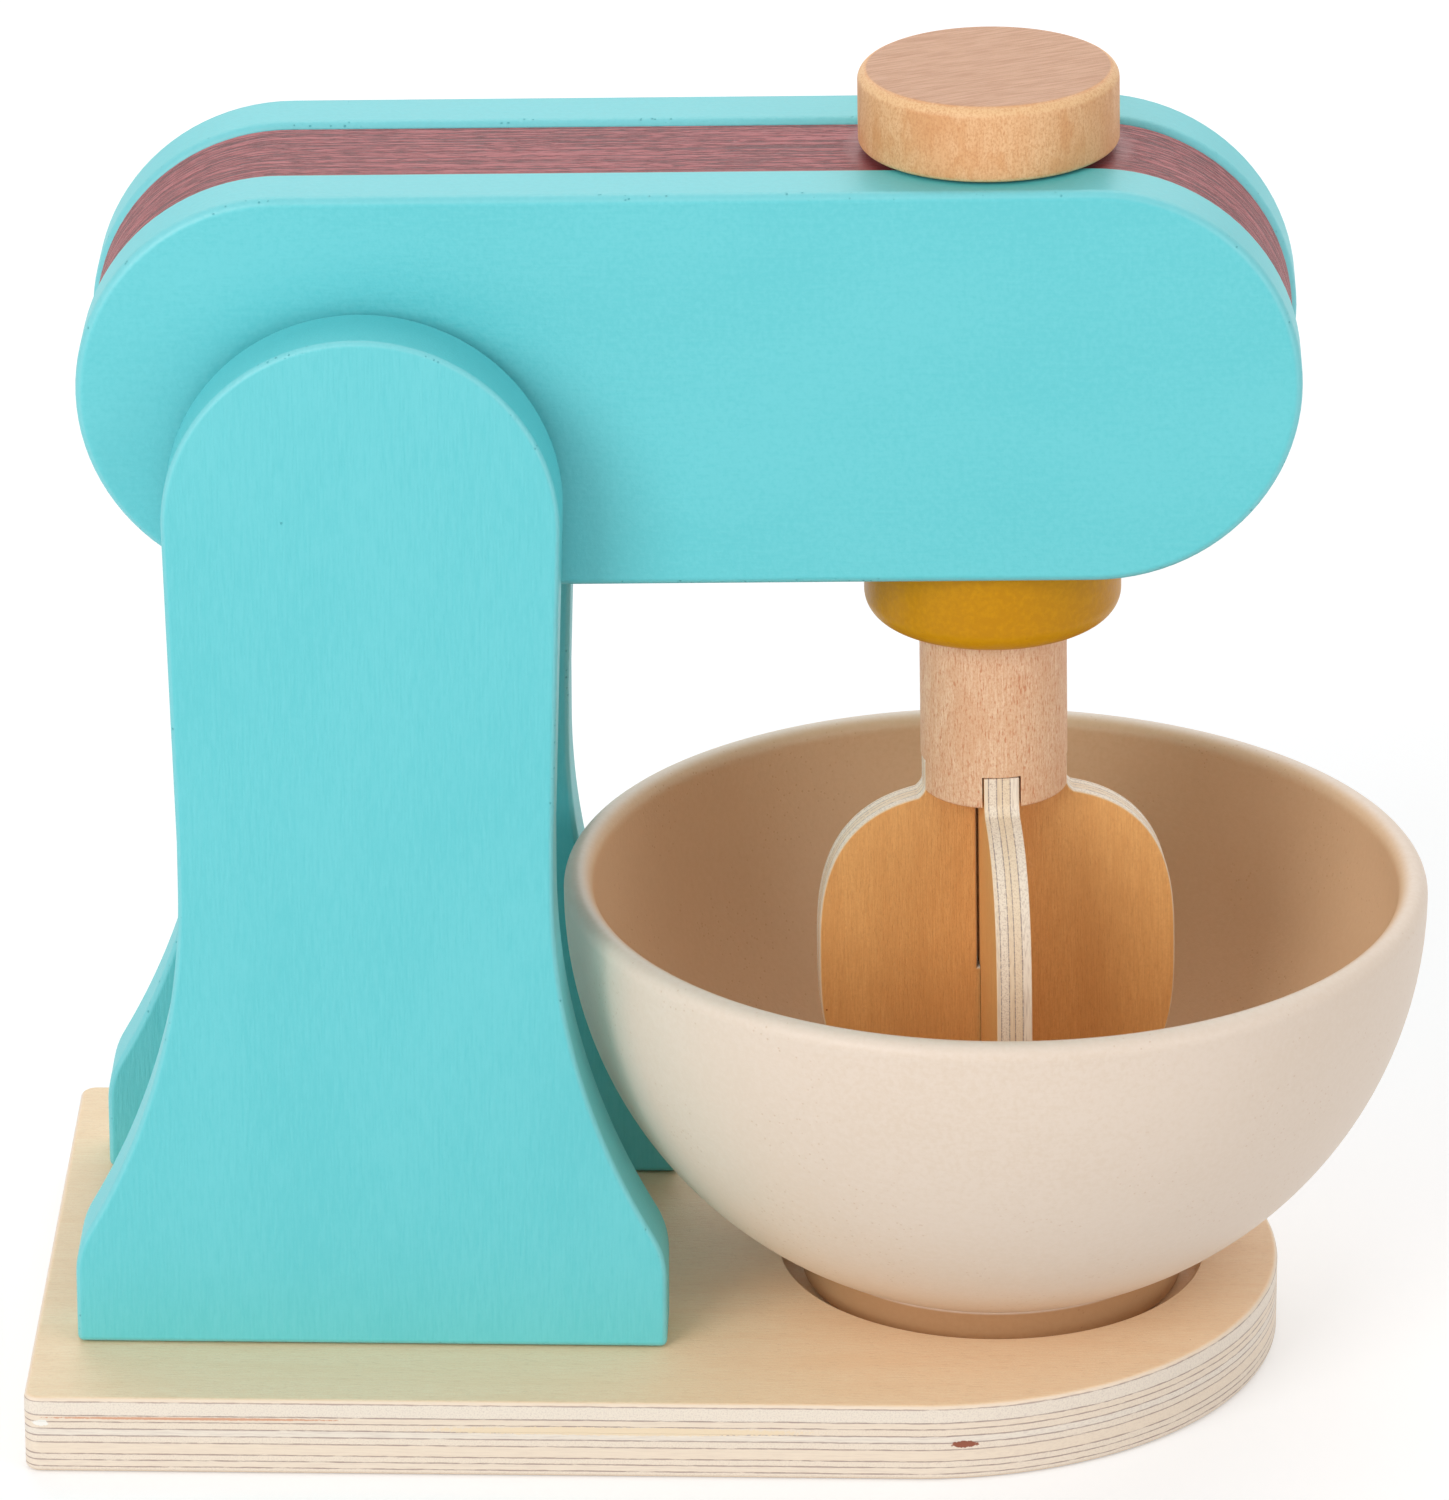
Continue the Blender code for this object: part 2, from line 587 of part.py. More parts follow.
def main():
    turquoise = material("turquoise_paint", (0.18, 0.66, 0.69), 0.55)
    red = material("dusty_red_paint", (0.45, 0.13, 0.15), 0.6)
    mustard = material("mustard_paint", (0.68, 0.34, 0.01), 0.4)
    cream = material("cream_paint", (0.81, 0.68, 0.60), 0.5)
    maple = material("bare_maple", (0.75, 0.50, 0.32), 0.6)
    plywood = material("birch_plywood", (0.77, 0.60, 0.40), 0.6)
    beech = material("beech_dowel", (0.62, 0.42, 0.26), 0.6)
    steel = material("plated_steel", (0.55, 0.53, 0.48), 0.35, 1.0)
    make_stand(plywood, turquoise, beech, steel)
    make_washers(beech)
    pivot = make_head(turquoise, red)
    spindle, collar_low = make_drive(pivot, maple, mustard)
    make_whisk(spindle, collar_low, maple, plywood)
    make_bowl(cream)


main()
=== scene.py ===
import json
import math

import bmesh
import bpy
from mathutils import Matrix, Vector


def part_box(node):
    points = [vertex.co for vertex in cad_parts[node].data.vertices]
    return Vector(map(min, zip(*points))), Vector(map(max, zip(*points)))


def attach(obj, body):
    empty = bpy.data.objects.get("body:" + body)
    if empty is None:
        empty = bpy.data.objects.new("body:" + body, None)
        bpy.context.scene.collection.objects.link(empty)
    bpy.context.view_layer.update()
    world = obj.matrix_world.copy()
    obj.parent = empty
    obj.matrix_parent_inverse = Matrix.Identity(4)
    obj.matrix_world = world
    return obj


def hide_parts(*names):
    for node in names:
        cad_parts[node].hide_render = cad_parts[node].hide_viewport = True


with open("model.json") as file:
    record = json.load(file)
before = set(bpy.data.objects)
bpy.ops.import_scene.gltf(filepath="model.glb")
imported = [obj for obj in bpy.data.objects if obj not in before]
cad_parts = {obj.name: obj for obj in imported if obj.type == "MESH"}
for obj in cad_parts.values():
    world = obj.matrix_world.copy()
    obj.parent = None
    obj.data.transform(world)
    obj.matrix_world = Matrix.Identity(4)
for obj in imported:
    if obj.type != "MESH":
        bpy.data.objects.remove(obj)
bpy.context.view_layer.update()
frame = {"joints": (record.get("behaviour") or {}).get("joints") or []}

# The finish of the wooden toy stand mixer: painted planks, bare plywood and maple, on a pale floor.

MM = 0.001

# Where the moving pieces turn, from the frame.
JOINTS = {joint["name"]: joint for joint in frame["joints"]}
PIVOT = Vector(JOINTS["head_tilt"]["pos_m"])
SPINDLE = Vector(JOINTS["knob_spin"]["pos_m"])
SPINDLE_UP = Vector(JOINTS["knob_spin"]["axis"])
HEAD_TILT = math.atan2(-SPINDLE_UP.x, SPINDLE_UP.z)
WHISK_TURN = math.radians(6)

# Fits and edges.
SEAT_GAP = 0.3 * MM
RUNNING_GAP = 0.4 * MM
CUT_OVERRUN = 2 * MM
BASE_CORNER = 3 * MM
BASE_ARRIS = 1.0 * MM
RECESS_RADIUS = 39.5 * MM
RECESS_DEPTH = 4 * MM
RECESS_ARRIS = 0.35 * MM
UPRIGHT_ARRIS = 1.2 * MM
PLANK_ARRIS = 1.7 * MM
CORE_ARRIS = 0.6 * MM
CORE_RECESS = 0.9 * MM

# Upright outline.
FOOT_SIDE_HEIGHT = 18.5 * MM
FOOT_CORNER = 5 * MM
FOOT_CORNER_STEPS = 2
WAIST_WIDTH = 68 * MM
WAIST_LOW = 90 * MM
WAIST_HIGH = 100 * MM

# Head outline, from the pivot.
HEAD_LENGTH = 219.5 * MM
HEAD_HEIGHT = 74.5 * MM
HEAD_BEHIND_PIVOT = 51.5 * MM
HEAD_BELOW_PIVOT = 18.5 * MM

# Dowels, washers and screws.
DOWEL_CHAMFER = 0.8 * MM
PIVOT_DOWEL_RADIUS = 6 * MM
STOP_DOWEL_RADIUS = 5 * MM
WASHER_RADIUS = 11 * MM
WASHER_ARRIS = 0.3 * MM
SCREW_HEAD_RADIUS = 4 * MM
SCREW_HEAD_ARRIS = 0.2 * MM
SCREW_HEAD_HEIGHT = 2.5 * MM
SCREW_RADIUS = 2 * MM
SCREW_CORE_RADIUS = 1.35 * MM
SCREW_PITCH = 1.6 * MM
SCREW_SHANK_LENGTH = 8 * MM
SCREW_POINT_LENGTH = 6 * MM
SCREW_SLOT_LENGTH = 4.4 * MM
SCREW_SLOT_WIDTH = 1.0 * MM
SCREW_SLOT_DEPTH = 1.5 * MM

# Knob, collar, shaft and blades.
DRIVE_DOWEL_RADIUS = 6 * MM
DRIVE_DOWEL_BELOW_COLLAR = 12.5 * MM
KNOB_RADIUS = 23.5 * MM
KNOB_HEIGHT = 14 * MM
KNOB_TOP_ROUND = 2.2 * MM
KNOB_BOTTOM_ROUND = 1.0 * MM
KNOB_HOLE_DEPTH = 9 * MM
COLLAR_RADIUS = 23.5 * MM
COLLAR_HEIGHT = 15.7 * MM
COLLAR_LOWER_ROUND = 4.8 * MM
COLLAR_UPPER_ROUND = 0.8 * MM
SHAFT_RADIUS = 13.5 * MM
SHAFT_LENGTH = 33.7 * MM
SHAFT_ARRIS = 0.5 * MM
SHAFT_SLOT_DEPTH = 6.2 * MM
SHAFT_SLOT_ARRIS = 0.15 * MM
BLADE_THICKNESS = 6.5 * MM
BLADE_HALF_WIDTH = 33 * MM
BLADE_HEIGHT = 66 * MM
BLADE_ROUNDNESS = 2.9
BLADE_NECK = 1.2 * MM
BLADE_TAB_WIDTH = 26.2 * MM
BLADE_ARRIS = 0.4 * MM
BLADE_SLIT_SPARE = 0.7 * MM
BLADE_SLIT_ASIDE = 0.2 * MM
BLADE_SLIT_PAST_MIDDLE = 2.6 * MM

# Bowl.
BOWL_WALL = 5.4 * MM
BOWL_WIDEST_BELOW_RIM = 3 * MM
BOWL_FOOT_RADIUS = 35.5 * MM
BOWL_FOOT_HEIGHT = 7 * MM
BOWL_FOOT_ARRIS = 0.8 * MM
BOWL_FLOOR_THICKNESS = 6.5 * MM
BOWL_FOOT_HOLLOW = 1.2 * MM

# How finely curves are drawn.
TURNED_STEPS = 144
BOWL_STEPS = 192
SCREW_STEPS = 32
END_STEPS = 48
FLARE_STEPS = 32
ROUND_STEPS = 8
ARRIS_STEPS = 4
WELD = 0.001 * MM
SAME_HEIGHT = 0.02 * MM
SMOOTH_ANGLE = math.radians(38)

HEAD_FRAME = Matrix.Translation(PIVOT) @ Matrix.Rotation(-HEAD_TILT, 4, "Y")
SPINDLE_FRAME = Matrix.Translation(SPINDLE) @ Matrix.Rotation(-HEAD_TILT, 4, "Y")
WHISK_DROP = RUNNING_GAP + COLLAR_HEIGHT + SEAT_GAP
WHISK_FRAME = (
    SPINDLE_FRAME @ Matrix.Translation((0.0, 0.0, -WHISK_DROP)) @ Matrix.Rotation(WHISK_TURN, 4, "Z")
)
ALONG_Y = Matrix.Rotation(math.radians(90), 4, "X")


# Modelling by hand.
def deselect():
    if bpy.context.object and bpy.context.object.mode != "OBJECT":
        bpy.ops.object.mode_set(mode="OBJECT")
    bpy.ops.object.select_all(action="DESELECT")


def work_on(piece):
    deselect()
    bpy.context.view_layer.objects.active = piece
    piece.select_set(True)


def pick_ring(piece, height):
    """Goes into edit mode and selects only the edges that lie flat at one height."""
    work_on(piece)
    bpy.ops.object.mode_set(mode="EDIT")
    bpy.ops.mesh.select_mode(type="EDGE")
    bpy.ops.mesh.select_all(action="DESELECT")
    for edge in bmesh.from_edit_mesh(piece.data).edges:
        if all(abs(vert.co.z - height) < SAME_HEIGHT for vert in edge.verts):
            edge.select_set(True)
    bmesh.update_edit_mesh(piece.data)


def arc(center, radius, start, end, steps):
    """Points on an arc in the drawing plane, from one angle in degrees to another."""
    turns = [math.radians(start + (end - start) * i / steps) for i in range(steps + 1)]
    return [(center[0] + radius * math.cos(t), center[1] + radius * math.sin(t)) for t in turns]


def rounded(start, corner, end):
    """Points of a soft curve that leaves one line for another, where they would meet in a corner."""
    curve = []
    for i in range(ROUND_STEPS + 1):
        share = i / ROUND_STEPS
        first = start.lerp(corner, share)
        curve.append(tuple(first.lerp(corner.lerp(end, share), share)))
    return curve


def draw(name, points):
    """A line of extruded points in the XZ plane, left in edit mode with all of it selected."""
    deselect()
    bpy.ops.mesh.primitive_plane_add(size=MM, location=(points[0][0], 0.0, points[0][1]))
    piece = bpy.context.object
    piece.name = name
    bpy.ops.object.transform_apply(location=True)
    bpy.ops.object.mode_set(mode="EDIT")
    bpy.ops.mesh.select_mode(type="VERT")
    bpy.ops.mesh.select_all(action="SELECT")
    bpy.ops.mesh.merge(type="CENTER")
    for (x, z), (next_x, next_z) in zip(points, points[1:]):
        bpy.ops.mesh.extrude_region_move(TRANSFORM_OT_translate={"value": (next_x - x, 0.0, next_z - z)})
    bpy.ops.mesh.select_all(action="SELECT")
    return piece


def cut_out(name, points, thickness):
    """A board sawn to an outline in the XZ plane, with its thickness centred on that plane."""
    board = draw(name, points)
    bpy.ops.mesh.remove_doubles(threshold=WELD)
    bpy.ops.mesh.edge_face_add()
    bpy.ops.mesh.extrude_region_move(TRANSFORM_OT_translate={"value": (0.0, thickness, 0.0)})
    bpy.ops.mesh.select_all(action="SELECT")
    bpy.ops.transform.translate(value=(0.0, -thickness / 2, 0.0))
    bpy.ops.mesh.normals_make_consistent(inside=False)
    deselect()
    return board


def turn_on_lathe(name, profile, steps):
    """Spins a profile of (radius, height) points round Z."""
    piece = draw(name, profile)
    bpy.ops.mesh.spin(steps=steps, angle=2 * math.pi, center=(0.0, 0.0, 0.0), axis=(0.0, 0.0, 1.0))
    bpy.ops.mesh.select_all(action="SELECT")
    bpy.ops.mesh.remove_doubles(threshold=WELD)
    bpy.ops.mesh.normals_make_consistent(inside=False)
    deselect()
    return piece


def rod(name, radius, length, steps=TURNED_STEPS):
    """A cylinder along Z, centred on the origin."""
    deselect()
    bpy.ops.mesh.primitive_cylinder_add(vertices=steps, radius=radius, depth=length)
    bpy.context.object.name = name
    return bpy.context.object


def block(name, size, at):
    deselect()
    bpy.ops.mesh.primitive_cube_add(size=1.0, location=at)
    made = bpy.context.object
    made.name = name
    made.scale = size
    bpy.ops.object.transform_apply(location=True, rotation=True, scale=True)
    return made


def round_over(piece, height, width, steps=ROUND_STEPS):
    """Rounds the ring of edges at one height."""
    pick_ring(piece, height)
    bpy.ops.mesh.bevel(offset=width, segments=steps, profile=0.5, affect="EDGES", clamp_overlap=True)
    deselect()


def rod_with_ends(name, radius, length, width, steps):
    """A rod with its two ends rounded or chamfered."""
    piece = rod(name, radius, length)
    for end in (-length / 2, length / 2):
        round_over(piece, end, width, steps)
    return piece


def apply(piece, modifier):
    work_on(piece)
    bpy.ops.object.modifier_apply(modifier=modifier.name)


def soften(piece, width, angle, steps=ARRIS_STEPS):
    """Takes off every edge that is sharper than the angle."""
    bevel = piece.modifiers.new("Arris", "BEVEL")
    bevel.width = width
    bevel.segments = steps
    bevel.limit_method = "ANGLE"
    bevel.angle_limit = math.radians(angle)
    apply(piece, bevel)


def carve(piece, cutter):
    cut = piece.modifiers.new("Cut", "BOOLEAN")
    cut.operation = "DIFFERENCE"
    cut.solver = "EXACT"
    cut.object = cutter
    apply(piece, cut)
    bpy.data.objects.remove(cutter, do_unlink=True)


def copy_of(piece, name):
    """A second one of a piece that repeats, with its own mesh."""
    work_on(piece)
    bpy.ops.object.duplicate(linked=False)
    made = bpy.context.object
    made.name = name
    return made


def up_by(height):
    return Matrix.Translation((0.0, 0.0, height))


def middle_of(node):
    """The middle of a CAD piece's box."""
    low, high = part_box(node)
    return (low + high) / 2


def foot_of(node):
    """A move to the middle of the underside of a CAD piece's box."""
    middle = middle_of(node)
    return Matrix.Translation((middle.x, middle.y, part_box(node)[0].z))


def thickness_of(node):
    low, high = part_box(node)
    return high.y - low.y


def put(piece, place, body, material, node):
    """Brings a finished piece to its place, gives it its finish and hands it to its body."""
    work_on(piece)
    piece.matrix_world = place
    bpy.ops.object.transform_apply(location=True, rotation=True, scale=True)
    bpy.ops.object.shade_smooth_by_angle(angle=SMOOTH_ANGLE)
    even = piece.modifiers.new("Even", "WEIGHTED_NORMAL")
    even.keep_sharp = True
    apply(piece, even)
    piece.data.materials.clear()
    piece.data.materials.append(material)
    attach(piece, body)
    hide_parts(node)


# Small steps of a node tree.
def new_node(tree, kind, **settings):
    made = tree.nodes.new(kind)
    for name, value in settings.items():
        setattr(made, name, value)
    return made


def feed(tree, socket, value):
    """Links a socket's output in, or sets the input's own value."""
    if isinstance(value, bpy.types.NodeSocket):
        tree.links.new(value, socket)
    else:
        socket.default_value = value


def maths(tree, operation, a, b=0.0, c=0.0):
    made = new_node(tree, "ShaderNodeMath", operation=operation)
    for socket, value in zip(made.inputs, (a, b, c)):
        feed(tree, socket, value)
    return made.outputs[0]


def times(tree, a, b):
    return maths(tree, "MULTIPLY", a, b)


def times_plus(tree, a, b, c):
    return maths(tree, "MULTIPLY_ADD", a, b, c)


def vector_of(tree, operation, a, b=None):
    made = new_node(tree, "ShaderNodeVectorMath", operation=operation)
    feed(tree, made.inputs[0], a)
    if b is not None:
        feed(tree, made.inputs[1], b)
    return made.outputs["Value" if operation in ("DOT_PRODUCT", "LENGTH") else "Vector"]


def split_up(tree, vector):
    """The outputs X, Y and Z of a vector."""
    made = new_node(tree, "ShaderNodeSeparateXYZ")
    tree.links.new(vector, made.inputs[0])
    return made.outputs


def ramp(tree, value, low, high, to_low=0.0, to_high=1.0):
    """Rises smoothly from one output to the other as the value goes from low to high."""
    made = new_node(tree, "ShaderNodeMapRange", interpolation_type="SMOOTHSTEP")
    for name, what in (
        ("Value", value), ("From Min", low), ("From Max", high), ("To Min", to_low), ("To Max", to_high),
    ):
        feed(tree, made.inputs[name], what)
    return made.outputs["Result"]


def hump(tree, value, start, up, down, end):
    """Rises smoothly from 0 to 1, then falls back to 0."""
    return times(tree, ramp(tree, value, start, up), ramp(tree, value, down, end, 1.0, 0.0))


def noise(tree, place, scale, detail=3.0, roughness=0.5, distortion=0.0):
    made = new_node(tree, "ShaderNodeTexNoise")
    for name, what in (
        ("Vector", place), ("Scale", scale), ("Detail", detail), ("Roughness", roughness),
        ("Distortion", distortion),
    ):
        feed(tree, made.inputs[name], what)
    return made.outputs["Fac"]


def blend(tree, share, first, second, how="MIX"):
    made = new_node(tree, "ShaderNodeMix", data_type="RGBA", blend_type=how)
    feed(tree, made.inputs[0], share)
    feed(tree, made.inputs[6], first)
    feed(tree, made.inputs[7], second)
    return made.outputs[2]


def stretched(tree, place, x, y, z):
    return vector_of(tree, "MULTIPLY", place, (x, y, z))


def new_group(name, inputs, outputs):
    """An empty node group, with (name, kind) pairs for its sockets."""
    group = bpy.data.node_groups.new(name, "ShaderNodeTree")
    for way, sockets in (("INPUT", inputs), ("OUTPUT", outputs)):
        for label, kind in sockets:
            group.interface.new_socket(name=label, in_out=way, socket_type="NodeSocket" + kind)
    return group, new_node(group, "NodeGroupInput").outputs, new_node(group, "NodeGroupOutput").inputs


def give_out(tree, out, **values):
    for name, value in values.items():
        tree.links.new(value, out[name])


def use_group(tree, group, **values):
    made = new_node(tree, "ShaderNodeGroup", node_tree=group)
    for name, value in values.items():
        feed(tree, made.inputs[name], value)
    return made.outputs


def srgb(red, green, blue):
    """A colour as the eye reads it, 0 to 255, in the linear values that a shader takes."""
    linear = [((v / 255 + 0.055) / 1.055) ** 2.4 if v > 10 else v / 3295 for v in (red, green, blue)]
    return (*linear, 1.0)


# Effects that the finishes share. All of them read places in millimetres, with the grain along X.
# The shares by which a texture is stretched, and its steps, were matched to the photo.
def make_grain_group():
    """Fine fibres, short flecks along them, a fine mottle, and broad bands of tone."""
    tree, given, out = new_group(
        "wood grain", [("Place", "Vector")],
        [("Fibre", "Float"), ("Flecks", "Float"), ("Mottle", "Float"), ("Bands", "Float"),
         ("Height", "Float")],
    )
    place = given["Place"]
    fibre = noise(tree, stretched(tree, place, 0.05, 1.0, 1.0), 4.2, 4.0, 0.62, 0.15)
    short = noise(tree, stretched(tree, place, 0.32, 1.7, 1.7), 2.1, 2.0, 0.55)
    flecks = ramp(tree, short, 0.54, 0.7)
    mottle = noise(tree, stretched(tree, place, 0.7, 1.0, 1.0), 2.6, 4.0, 0.7)
    bands = noise(tree, stretched(tree, place, 0.06, 0.55, 0.55), 0.35, 3.0, 0.55, 0.6)
    height = times_plus(tree, flecks, -0.4, times_plus(tree, mottle, 0.5, fibre))
    give_out(tree, out, Fibre=fibre, Flecks=flecks, Mottle=mottle, Bands=bands, Height=height)
    return tree


def make_ply_group(name, line_shares, line_width):
    """Plies through a board, from its face at depth 0 to its back at depth 1, with glue between them."""
    tree, given, out = new_group(
        name, [("Depth", "Float"), ("Place", "Vector")],
        [("Glue", "Float"), ("Across", "Float"), ("Tone", "Float")],
    )
    wobble = noise(tree, stretched(tree, given["Place"], 0.11, 0.11, 0.0), 1.0, 3.0, 0.55)
    depth = times_plus(tree, wobble, 0.014, maths(tree, "SUBTRACT", given["Depth"], 0.007))
    nearest, layer = None, None
    for line in line_shares:
        away = maths(tree, "ABSOLUTE", maths(tree, "SUBTRACT", depth, line))
        past = maths(tree, "GREATER_THAN", depth, line)
        nearest = away if nearest is None else maths(tree, "MINIMUM", nearest, away)
        layer = past if layer is None else maths(tree, "ADD", layer, past)
    broken = noise(tree, stretched(tree, given["Place"], 0.22, 0.22, 2.0), 1.3, 4.0, 0.7)
    thin = ramp(tree, broken, 0.3, 0.72, line_width * 0.45, line_width * 1.25)
    faint = ramp(tree, broken, 0.28, 0.55, 0.25, 1.0)
    glue = ramp(tree, nearest, times(tree, thin, 0.2), thin, 1.0, 0.0)
    glue = times(tree, glue, faint)
    across = maths(tree, "MODULO", layer, 2.0)
    tone = new_node(tree, "ShaderNodeTexWhiteNoise", noise_dimensions="1D")
    tree.links.new(layer, tone.inputs["W"])
    give_out(tree, out, Glue=glue, Across=across, Tone=tone.outputs["Value"])
    return tree


def make_pinhole_group():
    """Small round holes in cells, with more of them where a broad noise lies over Low and High."""
    tree, given, out = new_group(
        "pinholes",
        [("Place", "Vector"), ("Scale", "Float"), ("Size", "Float"), ("Low", "Float"), ("High", "Float")],
        [("Hole", "Float")],
    )
    cells = new_node(tree, "ShaderNodeTexVoronoi", feature="F1")
    tree.links.new(given["Place"], cells.inputs["Vector"])
    tree.links.new(given["Scale"], cells.inputs["Scale"])
    middle = times(tree, given["Size"], 0.5)
    hole = ramp(tree, cells.outputs["Distance"], middle, given["Size"], 1.0, 0.0)
    crowd = ramp(tree, noise(tree, given["Place"], 0.07, 1.0), given["Low"], given["High"])
    give_out(tree, out, Hole=times(tree, hole, crowd))
    return tree


def pinholes(tree, place, cell, radius, low, high):
    """The holes in a tree, for a cell and a hole in millimetres."""
    holes = use_group(tree, PINHOLES, Place=place, Scale=1 / cell, Size=radius / cell, Low=low, High=high)
    return holes["Hole"]


def make_paint_group():
    """Paint over wood: the grain under it, its orange peel, and pinholes, most of them at arrises."""
    tree, given, out = new_group(
        "paint over wood",
        [("Place", "Vector"), ("Grain", "Float"), ("Skin", "Float"), ("Holes", "Float"), ("Edge", "Float")],
        [("Tone", "Float"), ("Hole", "Float"), ("Height", "Float")],
    )
    place = given["Place"]
    lines = noise(tree, stretched(tree, place, 0.09, 1.0, 1.0), 1.9, 3.0, 0.6, 0.2)
    skin = noise(tree, place, 0.95, 3.0, 0.6)
    cloud = noise(tree, stretched(tree, place, 0.4, 1.0, 1.0), 0.045, 2.0, 0.5)
    on_edge = times(tree, pinholes(tree, place, 1.3, 0.27, 0.5, 0.56), given["Edge"])
    hole = maths(tree, "MAXIMUM", on_edge, pinholes(tree, place, 11.0, 0.26, 0.48, 0.6))
    hole = times(tree, hole, given["Holes"])
    raised = times(tree, lines, given["Grain"])
    raised = times_plus(tree, skin, given["Skin"], raised)
    raised = times_plus(tree, hole, -1.5, raised)
    tone = times(tree, lines, given["Grain"])
    tone = times_plus(tree, skin, given["Skin"], tone)
    tone = maths(tree, "DIVIDE", tone, maths(tree, "ADD", given["Grain"], given["Skin"]))
    tone = times_plus(tree, tone, 0.7, times(tree, cloud, 0.3))
    give_out(tree, out, Tone=tone, Hole=hole, Height=raised)
    return tree


def make_arris_group():
    """Where a board or a turned piece rounds from its face to its side, and the rough patches along it where
    the paint is broken.
    """
    tree, given, out = new_group(
        "arris", [("Place", "Vector"), ("Facing", "Float")], [("Edge", "Float"), ("Broken", "Float")],
    )
    edge = hump(tree, given["Facing"], 0.04, 0.3, 0.86, 0.985)
    rough = ramp(tree, noise(tree, given["Place"], 0.8, 4.0, 0.65), 0.42, 0.66)
    give_out(tree, out, Edge=edge, Broken=times(tree, edge, rough))
    return tree


# Ply boundaries, as shares of the board's thickness from its upper face, read from the edge that shows.
BASE_PLY_SHARES = (0.047, 0.228, 0.313, 0.406, 0.498, 0.590, 0.744, 0.826, 0.914)
BLADE_PLY_SHARES = (0.13, 0.36, 0.52, 0.74)
GLUE_SHOWS = 0.75
GRAIN = make_grain_group()
PINHOLES = make_pinhole_group()
PAINT = make_paint_group()
ARRIS = make_arris_group()
BASE_PLIES = make_ply_group("base plies", BASE_PLY_SHARES, 0.014)
BLADE_PLIES = make_ply_group("blade plies", BLADE_PLY_SHARES, 0.024)


def new_finish(name, roughness):
    """A material, its node tree and its Principled shader."""
    material = bpy.data.materials.new(name)
    material.use_nodes = True
    tree = material.node_tree
    shader = tree.nodes["Principled BSDF"]
    shader.inputs["Roughness"].default_value = roughness
    return material, tree, shader


def places(tree, own_frame, grain_along="X"):
    """Places on a piece in its own frame, in millimetres, turned so that the grain runs along X."""
    turns = {
        "X": Matrix.Identity(4),
        "Y": Matrix.Rotation(math.radians(-90), 4, "Z"),
        "Z": Matrix.Rotation(math.radians(90), 4, "Y"),
    }
    into = turns[grain_along] @ own_frame.inverted()
    read = new_node(tree, "ShaderNodeTexCoord")
    mapping = new_node(tree, "ShaderNodeMapping", vector_type="POINT")
    mapping.inputs["Location"].default_value = into.to_translation()
    mapping.inputs["Rotation"].default_value = into.to_euler()
    tree.links.new(read.outputs["Object"], mapping.inputs["Vector"])
    return vector_of(tree, "MULTIPLY", mapping.outputs[0], (1 / MM, 1 / MM, 1 / MM))


def direction(tree, own_frame, axis):
    """How squarely the surface faces along one of the piece's own axes, from 0 to 1."""
    read = new_node(tree, "ShaderNodeTexCoord")
    along = own_frame.to_3x3() @ Vector(axis)
    return maths(tree, "ABSOLUTE", vector_of(tree, "DOT_PRODUCT", read.outputs["Normal"], tuple(along)))


def relief(tree, shader, height, depth):
    """A bump as deep as the depth says, in metres, for heights from 0 to 1."""
    bump = new_node(tree, "ShaderNodeBump")
    bump.inputs["Strength"].default_value = 1.0
    bump.inputs["Distance"].default_value = depth
    tree.links.new(height, bump.inputs["Height"])
    tree.links.new(bump.outputs[0], shader.inputs["Normal"])


def painted(name, colours, own_frame, grain_along, roughness, across=(0, 1, 0), grain=0.6, skin=0.25,
            holes=0.8, depth=0.1 * MM, reflects=0.5):
    """Paint over wood. The colours are its low, its high, and the tone at the arrises, a painted highlight
    where it is paler than the paint.
    """
    low, high, arris_tone = colours
    material, tree, shader = new_finish(name, roughness)
    place = places(tree, own_frame, grain_along)
    edge = use_group(tree, ARRIS, Place=place, Facing=direction(tree, own_frame, across))
    paint = use_group(tree, PAINT, Place=place, Grain=grain, Skin=skin, Holes=holes, Edge=edge["Edge"])
    body = blend(tree, ramp(tree, paint["Tone"], 0.38, 0.62), low, high)
    # Painted highlight along the arrises, where the arris tone is paler than the paint.
    body = blend(tree, times(tree, edge["Edge"], 0.4), body, arris_tone)
    body = blend(tree, times(tree, paint["Hole"], 0.8), body, low, "MULTIPLY")
    tree.links.new(body, shader.inputs["Base Color"])
    gloss = ramp(tree, paint["Tone"], 0.3, 0.7, roughness - 0.05, roughness + 0.06)
    tree.links.new(gloss, shader.inputs["Roughness"])
    relief(tree, shader, times_plus(tree, edge["Broken"], -0.3, paint["Height"]), depth)
    shader.inputs["Specular IOR Level"].default_value = reflects
    return material


